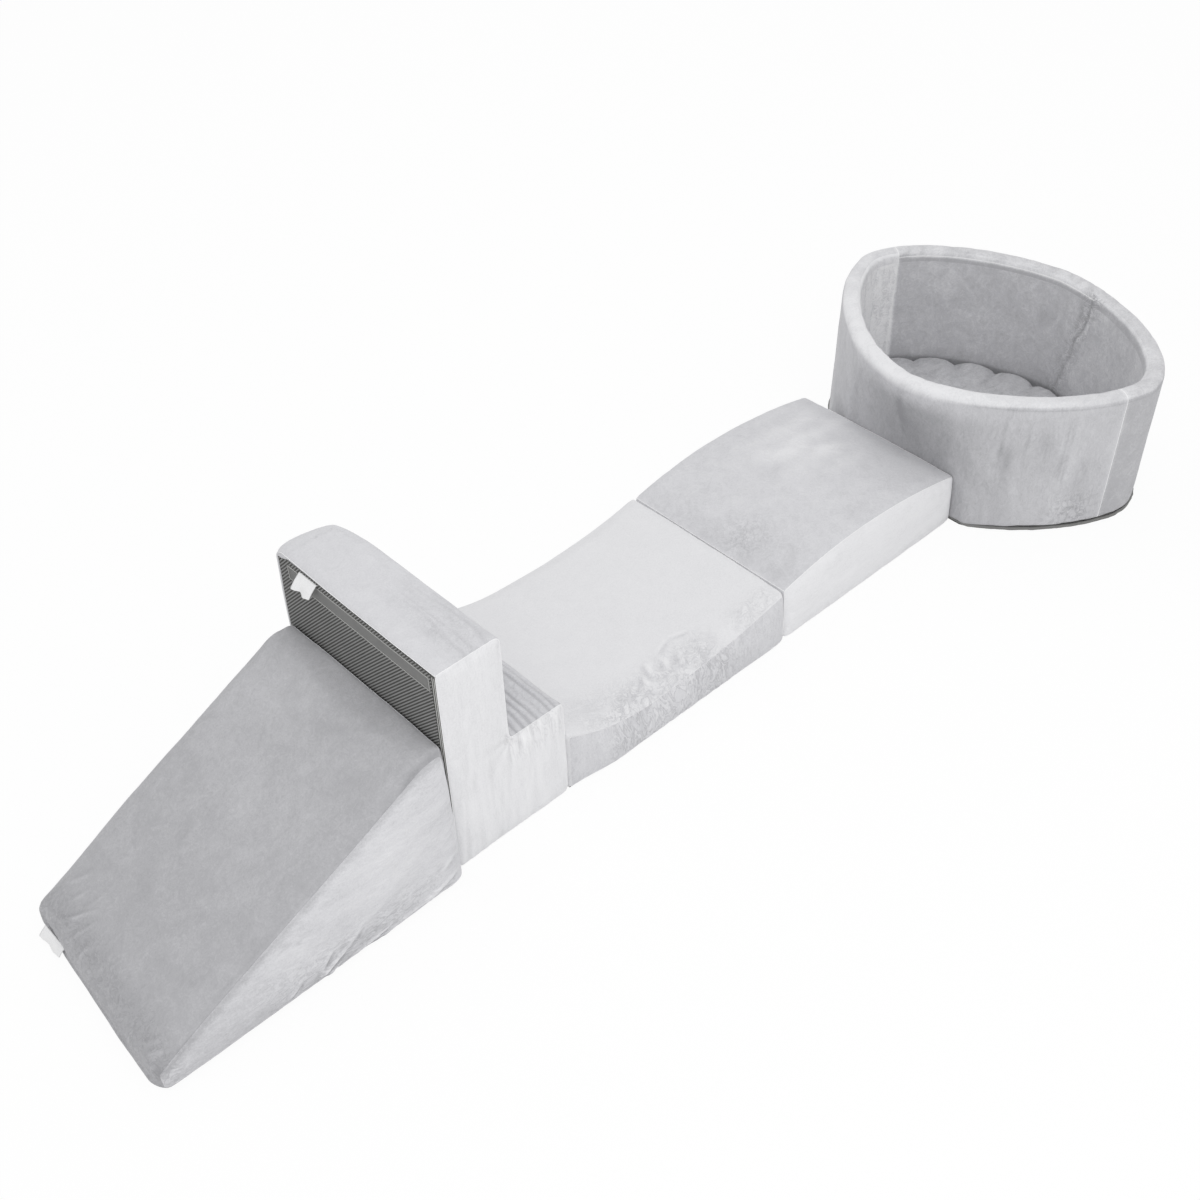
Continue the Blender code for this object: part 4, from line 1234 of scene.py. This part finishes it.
low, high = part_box("stair_side_label")
folded_label("stair", "side", (high.x + 0.001, high.z), (low.x + 0.004, low.z - 0.002),
             low.y - 0.002, high.y + 0.002, 0.003, 0.006)
low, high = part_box("ramp_end_label")
folded_label("ramp", "end", (high.x - 0.004, high.z), (low.x - 0.001, low.z - 0.003),
             low.y, high.y, 0.002, 0.003)


# The ball pit, about its own middle

def oval_point(turn):
    """A point of the wall's free outline: a pointed oval whose two ends sweep back."""
    across = math.cos(turn)
    along = math.sin(turn)
    power = 2 / PIT_ROUNDNESS
    x = PIT_LENGTH / 2 * math.copysign(abs(across) ** power, across)
    y = PIT_WIDTH / 2 * math.copysign(abs(along) ** power, along)
    return (x + PIT_SWEEP * abs(along) ** (2 * power), y)


def oval_places(count):
    """Points at even distances round the free outline, each with its outward direction."""
    fine = [oval_point(math.tau * step / (16 * count)) for step in range(16 * count + 1)]
    places = np.array(spaced(fine, count))[:-1]
    along = np.roll(places, -1, axis=0) - np.roll(places, 1, axis=0)
    along /= np.linalg.norm(along, axis=1)[:, None]
    return places, np.column_stack([along[:, 1], -along[:, 0]])


def wall_ring(places, outward, depth, height):
    """A ring of the wall at a depth from its outer face, pressed in by the wave's end."""
    share = eased(PIT_PRESSED_HEIGHT, PIT_HEIGHT, height)
    foot = places + np.array(PIT_BASE_LEAN) * (1 - height / PIT_HEIGHT)
    pressed = np.column_stack([np.maximum(foot[:, 0], PIT_PRESSED_X), foot[:, 1]])
    face = pressed + (foot - pressed) * share
    ring = face - outward * depth
    return np.column_stack([ring[:, 0] + PIT_MIDDLE_X, ring[:, 1],
                            np.full(len(places), height)])


def wall_section():
    """The wall's section as (depth, height, part), up the outside, over the rim and down inside.

    The parts are 0 outside, 1 on the rim, 2 inside and 3 under the wall.
    """
    shoulder = PIT_HEIGHT - PIT_RIM_ROUNDING
    outside = [(0.0, PIT_FOOT + (shoulder - PIT_FOOT) * step / 34, 0) for step in range(34)]
    rim = []
    for step in range(17):
        angle = math.pi * step / 16
        side = math.copysign(abs(math.cos(angle)) ** 0.8, math.cos(angle))
        rim.append((PIT_WALL / 2 * (1 - side),
                    shoulder + PIT_RIM_ROUNDING * math.sin(angle) ** 0.8, 1))
    inside = [(PIT_WALL, place[1], 2) for place in reversed(outside)]
    under = [(PIT_WALL * (1 - step / 5), PIT_FOOT, 3) for step in range(1, 5)]
    return outside + rim + inside + under


def nearest_column(places, heading):
    """The column of a ring that lies at a heading, in degrees about the pit's middle."""
    turns = np.degrees(np.arctan2(places[:, 1], places[:, 0]))
    return int(np.argmin(np.abs((turns - heading + 180) % 360 - 180)))


# Darker streaks down the outside of the wall, each in a shallow groove, as (heading, lowest,
# highest, width, darkness)
PIT_DARK_STREAKS = (
    (-134.5, 0.15, 0.30, 2.8, 0.45), (-137.0, 0.22, 0.36, 0.9, 0.35), (-128.0, 0.24, 0.37, 0.6, 0.4),
    (-121.0, 0.14, 0.34, 3.4, 0.2), (-114.0, 0.16, 0.38, 0.6, 0.4), (-112.4, 0.13, 0.36, 0.5, 0.4),
    (-105.0, 0.10, 0.24, 3.0, 0.25), (178.0, 0.22, 0.38, 2.5, 0.4),
    (150.0, 0.10, 0.30, 2.0, 0.3), (-60.0, 0.10, 0.30, 2.4, 0.4), (-20.0, 0.15, 0.32, 2.0, 0.4),
    (20.0, 0.10, 0.34, 2.0, 0.4), (62.0, 0.12, 0.30, 2.0, 0.4),
)


def on_rim(z):
    """1 on the wall's rim and 0 below it."""
    return eased(PIT_HEIGHT - 0.030, PIT_HEIGHT - 0.012, z)


def pit_folds(points, normals):
    """Creases, dark streaks, painted shade and gathers of the wall, by heading about the pit and by
    height.
    """
    x = points[:, 0] - PIT_MIDDLE_X
    y = points[:, 1]
    z = points[:, 2]
    heading = np.degrees(np.arctan2(y, x))

    def beside(place):
        """How far each point's heading lies from a place."""
        return (heading - place + 180) % 360 - 180

    def near(place, width):
        """1 at a heading, fading away over a width."""
        return np.exp(-(beside(place) / width) ** 2)

    outer = (normals[:, 0] * x + normals[:, 1] * y > 0) & (z < PIT_HEIGHT - 0.004)
    inner = ~outer & (z < PIT_HEIGHT - 0.004)
    rim = on_rim(z)
    # soft creases of the rim, which is brushed pale on its outer side
    fold = 0.0008 * rim * wander(points, (0.050, 0.050, 0.030), 31)
    fold -= 0.0022 * rim * creased(points, (0.080, 0.045, 0.05), 32, 20) * (
        0.1 + 1.1 * np.abs(wander(points, 0.16, 33)))
    crumpled = 0.16 + 0.06 * rim
    side = outer * eased(60, 15, np.abs(beside(172)))
    nap_and_painted_light = eased(PIT_HEIGHT - 0.013 - 0.022 * side, PIT_HEIGHT - 0.007 - 0.006 * side, z)
    nap_and_painted_light *= 0.50 + 0.55 * np.clip(-np.cos(np.radians(heading + 10)), 0, 1)
    # the pale cloth of the rim reaches down to the stitch line behind it
    behind = inner * zone(heading, -22, 70, 12)
    nap_and_painted_light = np.maximum(nap_and_painted_light, 0.62 * behind * eased(PIT_HEIGHT - 0.024, PIT_HEIGHT - 0.018, z))
    # a thin shadow under the front of the rim
    nap_and_painted_light -= 0.35 * outer * near(-115, 40) * zone(z, PIT_HEIGHT - 0.021, PIT_HEIGHT - 0.016,
                                                    0.002)
    # painted shade low on the side of the wall that faces the blocks
    nap_and_painted_light -= 0.75 * outer * near(-172, 32) * (
        1 - eased(PIT_HEIGHT - 0.10, PIT_HEIGHT - 0.03, z))
    for place, low, high, width, dark in PIT_DARK_STREAKS:
        streak = outer * near(place + 6 * (z - 0.2), width) * zone(z, low, high, 0.05)
        nap_and_painted_light -= 0.75 * dark * streak * (0.7 + 0.9 * wander(points, (0.02, 0.02, 0.05), 34))
        fold -= 0.0012 * dark * streak
    # cloth pulled in at the foot beside the near seam
    pulled = outer * near(-107, 9) * (1 - eased(0.06, 0.16, z))
    fold -= 0.0016 * pulled * creased(points, (0.05, 0.05, 0.012), 35)
    crumpled += 0.5 * pulled
    # gathers inside that lean from the pad up to the start of the stitch line
    gather = beside(-7 - 15 * z / PIT_HEIGHT)
    near_gather = inner * np.exp(-(gather / 5.0) ** 2) * (0.5 + 0.5 * eased(0.10, 0.36, z))
    fold -= 0.0030 * near_gather * puckers(gather + 2.6 * wander(points, 0.07, 36), 4.4)
    crumpled += 0.8 * near_gather
    # the paler cloth of the inside beyond the far seam
    pale = inner * (eased(73.5, 75.0, heading) + (heading < -170))
    fold -= 0.0013 * pale * creased(points, (0.030, 0.030, 0.20), 37)
    nap_and_painted_light += 1.0 * pale + 0.18 * inner * (heading < -10) * eased(0, 4, -gather)
    crumpled += 0.3 * pale
    # the wall is in shade behind the pad's edge
    nap_and_painted_light -= 0.9 * inner * (1 - eased(0.044, 0.060, z))
    fold += 0.0004 * outer * wander(points, (0.045, 0.045, 0.30), 38)
    return fold, nap_and_painted_light, crumpled


def add_pit_wall():
    """The pit's cover, in two cloths that meet at its end seams."""
    count = PIT_COLUMNS
    places, outward = oval_places(count)
    section = wall_section()
    rows = [wall_ring(places, outward, depth, height) for depth, height, part in section]
    near_seam = nearest_column(places, PIT_NEAR_SEAM)
    far_seam = nearest_column(places - outward * PIT_WALL, PIT_FAR_SEAM)
    stitched = nearest_column(places - outward * PIT_WALL, PIT_RIM_STITCHES_START)
    panel = [int(not far_seam <= column < near_seam) for column in range(count)]
    faces = []
    kinds = []
    seam = np.zeros((len(rows), count))
    for row, (depth, height, part) in enumerate(section):
        faces += band_faces(row * count, (row + 1) % len(rows) * count, count)
        kinds += [2] * count if part > 1 else panel
        if part < 3:
            seam[row, [near_seam, far_seam]] = 1.0
    under_rim = [row for row, place in enumerate(section) if place[2] == 1][-2]
    seam[under_rim, stitched:] = 1.0
    seam[under_rim, :far_seam + 1] = 1.0
    cover = piece_of("pit_velvet_cover", np.concatenate(rows), faces,
                     [PIT_OUTSIDE, PIT_PANEL, PIT_INSIDE], kinds)
    point_values(cover, "seam", seam.ravel())
    subdivided(cover)
    points, normals = read_points(cover)
    fold, nap_and_painted_light, crumpled = pit_folds(points, normals)
    lift = fold + 0.0012 * wander(points, 0.09, 21) + 0.0004 * wander(points, 0.03, 22)
    points = points + normals * lift[:, None]
    uneven = 0.5 + 0.5 * wander(points * (1, 1, 0), 0.045, 23)
    lifted = 0.0095 * uneven + 0.0050 * (1 - eased(0.12, 0.30, points[:, 1] + PIT_WIDTH / 2))
    points[:, 2] += lifted * (1 - eased(0.0, 0.035, points[:, 2]))
    points[:, 2] = np.maximum(points[:, 2], PIT_FOOT)
    write_points(cover, points)
    mark(cover, np.clip(fold / DEEP_FOLD, -1, 1) * (1 - 0.3 * on_rim(points[:, 2])), nap_and_painted_light,
         crumpled)
    dressed(cover, "pit", "pit_velvet", "pit_left_foam", "pit_right_foam", fill=0.8)
    add_ridge(cover, "pit", "pit_velvet", 0.0009)


add_pit_wall()


def pit_outline(depth, height):
    """The wall's outline at a depth and a height, as (x, y)."""
    places, outward = oval_places(96)
    return wall_ring(places, outward, depth, height)[:, :2]


def add_pit_base():
    """The grip cloth under wall and pad, with a hem that shows round the wall's foot."""
    path = pit_outline(0.0012, 0.0)
    path = np.array(spaced(np.vstack([path, path[:1]]), 420))[:-1]
    flat = np.column_stack([path, np.zeros(len(path))])
    pushed = 0.0032 * wander(flat, 0.050, 41) + 0.0016 * wander(flat, 0.016, 42)
    ahead = np.roll(path, -1, axis=0) - np.roll(path, 1, axis=0)
    ahead /= np.linalg.norm(ahead, axis=1)[:, None]
    path = path + np.column_stack([ahead[:, 1], -ahead[:, 0]]) * pushed[:, None]
    path[:, 0] = np.maximum(path[:, 0], PIT_PRESSED_X + PIT_MIDDLE_X + PIT_HEM_RADIUS)
    loop = [(a, b, PIT_HEM_RADIUS) for a, b in path]
    hem = grown("pit_grip_cloth_hem", HEMS, wire("pit_hem_path", [loop], closed=True), "pit",
                "base_cloth", rib_radius=PIT_HEM_RADIUS)

    def lie(a, b, depth):
        return (a, b, depth)

    add_grip_cloth("pit", pit_outline(-0.001, 0.0), lie, rib_inset=0.01)


add_pit_base()


# The floor pad, whose side is drawn as (share of its reach, share of its height) from its base
PAD_UNDER_RISE = RECESS / PAD_HEIGHT
PAD_SIDES = ((0.90, PAD_UNDER_RISE), (0.935, PAD_UNDER_RISE), (0.945, 0.0), (0.970, 0.05),
             (0.988, 0.17), (1.0, 0.36), (0.995, 0.56), (0.975, 0.74), (0.945, 0.86), (0.90, 0.93))
PAD_CLOTH_SHARE = 0.93


def pad_form(count, panel_steps):
    """The pad's points as its filling forms it, the faces, and how firmly each is sewn.

    Pleats pinch the edge into scallops and run in towards a ring of tufts.
    """
    places, outward = oval_places(count)
    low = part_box("floor_pad_cover")[0].z
    edge = wall_ring(places, outward, PIT_WALL + PAD_CLEARANCE, 0)[:, :2]
    edge[:, 0] -= PIT_MIDDLE_X
    reach = np.linalg.norm(edge, axis=1)
    heading = np.unwrap(np.arctan2(edge[:, 1], edge[:, 0]))
    turns = np.arange(count) * PAD_SCALLOPS / count

    def formed(spots, share, rise, turn):
        """Lifts flat spots at a share of the pad's reach, and says how firmly they're sewn."""
        above = rise > PAD_UNDER_RISE
        pinch = (1 - np.abs(np.sin(math.pi * turn)) ** 0.6) * eased(0.30, 1.0, share) * above
        length = np.maximum(np.linalg.norm(spots, axis=1), 1e-6)
        drawn = spots * (1 - PAD_SCALLOP_DEPTH * pinch / length)[:, None]
        tuft_turn = np.abs((turn / PAD_SCALLOPS_PER_TUFT + 0.5) % 1 - 0.5)
        tuft_gap = np.hypot((share - PAD_TUFT_SHARE) * 0.4,
                            tuft_turn * PAD_TUFT_SHARE * math.tau / 6 * 0.4)
        tuft = np.exp(-(tuft_gap / 0.022) ** 2) * above
        height = PAD_HEIGHT * rise - PAD_PLEAT_DEPTH * pinch - PAD_TUFT_DEPTH * tuft
        sewn = np.maximum(np.clip(pinch * 1.6 - 0.3, 0, 1), np.where(tuft > 0.75, 1.0, 0.0))
        sewn = np.where(above, sewn, 1.0)
        return np.column_stack([drawn[:, 0] + PIT_MIDDLE_X, drawn[:, 1],
                                low + np.maximum(height, 0), sewn])

    rows = [formed(edge * share, np.full(count, share), np.full(count, rise), turns)
            for share, rise in PAD_SIDES]
    points = np.concatenate(rows)
    faces = []
    for row in range(len(rows) - 1):
        faces += band_faces(row * count, (row + 1) * count, count)
    rim = PAD_SIDES[-1][0]
    flat = filled(edge * rim, panel_steps, panel_steps)
    angle = np.arctan2(flat[:, 1], flat[:, 0])
    angle = heading[0] + (angle - heading[0]) % math.tau
    all_round = np.append(heading, heading[0] + math.tau)
    full = np.interp(angle, all_round, np.append(reach, reach[0]))
    turn = np.interp(angle, all_round, np.append(turns, PAD_SCALLOPS))
    share = np.linalg.norm(flat, axis=1) / full
    top = formed(flat, share, 0.93 + 0.05 * eased(0.90, 0.70, share), turn)
    bottom = formed(flat, share, np.full(len(flat), PAD_UNDER_RISE), turn)
    for row, panel in ((0, bottom), (len(rows) - 1, top)):
        faces += panel_faces(row * count, len(points), panel_steps, panel_steps)
        points = np.vstack([points, panel])
    return points[:, :3], faces, points[:, 3]


def add_pad():
    """The tufted floor pad, blown up as cloth between its pleats and tufts."""
    points, faces, sewn = pad_form(PAD_SCALLOPS * PAD_STEPS_PER_SCALLOP,
                                   PAD_SCALLOPS * PAD_STEPS_PER_SCALLOP // 4)
    cover = piece_of("floor_pad_velvet_cover", points, faces, [PAD_TOP])
    puffed(cover, sewn, pressure=3.0, cap=0.008, slack=0.02)
    subdivided(cover)
    points, normals = read_points(cover)
    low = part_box("floor_pad_cover")[0].z
    above = eased(low + 0.02, low + 0.05, points[:, 2])
    wrinkle = 0.0016 * above * wander(points, (0.050, 0.016, 0.1), 51)
    points = points + normals * wrinkle[:, None]
    write_points(cover, points)
    point_values(cover, "fold", np.clip(wrinkle / 0.0030, -1, 1))
    point_values(cover, "crumpled", 0.35 * above)
    dressed(cover, "floor_pad", "pad_velvet", "floor_pad_filling", fill=0.7)
    outline = pit_outline(PIT_WALL + PAD_CLEARANCE, 0)
    middle = np.array((PIT_MIDDLE_X, 0.0))
    outline = middle + (outline - middle) * PAD_CLOTH_SHARE

    def lie(a, b, depth):
        return (a, b, low + depth)

    add_grip_cloth("floor_pad", outline, lie)
    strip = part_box("floor_pad_zip_strip")
    add_zip_strip("floor_pad", lie, (0, 0, -1), strip[0][:2], strip[1][:2])


add_pad()


# Camera, floor and light

def set_camera():
    """The camera that took the photo, as solved."""
    right = Vector(CAMERA_RIGHT)
    up = -Vector(CAMERA_DOWN)
    back = right.cross(up)
    data = bpy.data.cameras.new("camera")
    data.lens = CAMERA_LENS
    data.sensor_width = CAMERA_SENSOR
    camera = bpy.data.objects.new("camera", data)
    scene.collection.objects.link(camera)
    turn = Matrix((right, up, back)).transposed().to_4x4()
    camera.matrix_world = Matrix.Translation(CAMERA_PLACE) @ turn
    scene.camera = camera


def set_floor():
    """A pale floor that the camera sees nearly white, with the row's shadow kept."""
    material = bpy.data.materials.new("studio_floor")
    material.use_nodes = True
    tree = material.node_tree
    tree.nodes.clear()
    seen = add(tree, "ShaderNodeLightPath").outputs["Is Camera Ray"]
    # the camera sees 93 % plain white there, and 7 % of the lit floor with its shadow
    share = add(tree, "ShaderNodeMath", {0: seen, 1: 0.93}, operation="MULTIPLY")
    painted = add(tree, "ShaderNodeBsdfDiffuse", {"Color": linear("f4f4f4")})
    glow = add(tree, "ShaderNodeEmission", {"Color": linear("ffffff"), "Strength": 1.0})
    mixed = add(tree, "ShaderNodeMixShader", {0: share, 1: painted, 2: glow})
    add(tree, "ShaderNodeOutputMaterial", {"Surface": mixed})
    half = 20.0
    low = -0.0006
    mesh = bpy.data.meshes.new("floor")
    mesh.from_pydata([(-half, -half, low), (half, -half, low), (half, half, low),
                      (-half, half, low)], [], [(0, 1, 2, 3)])
    mesh.materials.append(material)
    floor = bpy.data.objects.new("floor", mesh)
    scene.collection.objects.link(floor)


def set_light():
    """Even studio light: a pale room and one broad soft lamp above the near side."""
    world = bpy.data.worlds.new("studio")
    world.use_nodes = True
    tree = world.node_tree
    tree.nodes.clear()
    path = add(tree, "ShaderNodeLightPath")
    seen = path.outputs["Is Camera Ray"]
    for ray in ("Is Glossy Ray", "Is Transmission Ray"):
        seen = add(tree, "ShaderNodeMath", {0: seen, 1: path.outputs[ray]}, operation="MAXIMUM")
    # the room looks white, and lights the row at three quarters of that
    strength = add(tree, "ShaderNodeMix", {0: seen, 2: 0.75, 3: 1.0})
    room = add(tree, "ShaderNodeBackground", {"Color": linear("ffffff"), "Strength": strength})
    add(tree, "ShaderNodeOutputWorld", {"Surface": room})
    scene.world = world
    for name, place, size, power in (("key", (-1.5, -2.5, 4.0), 3.5, 70),
                                     ("fill", (2.0, 2.5, 4.5), 4.0, 30)):
        lamp = bpy.data.lights.new(name, "AREA")
        lamp.size = size
        lamp.energy = power
        holder = bpy.data.objects.new(name, lamp)
        holder.location = place
        holder.rotation_euler = (Vector((0, 0, 0.2)) - Vector(place)).to_track_quat(
            "-Z", "Y").to_euler()
        scene.collection.objects.link(holder)


set_camera()
set_floor()
set_light()
scene.view_settings.view_transform = "Standard"
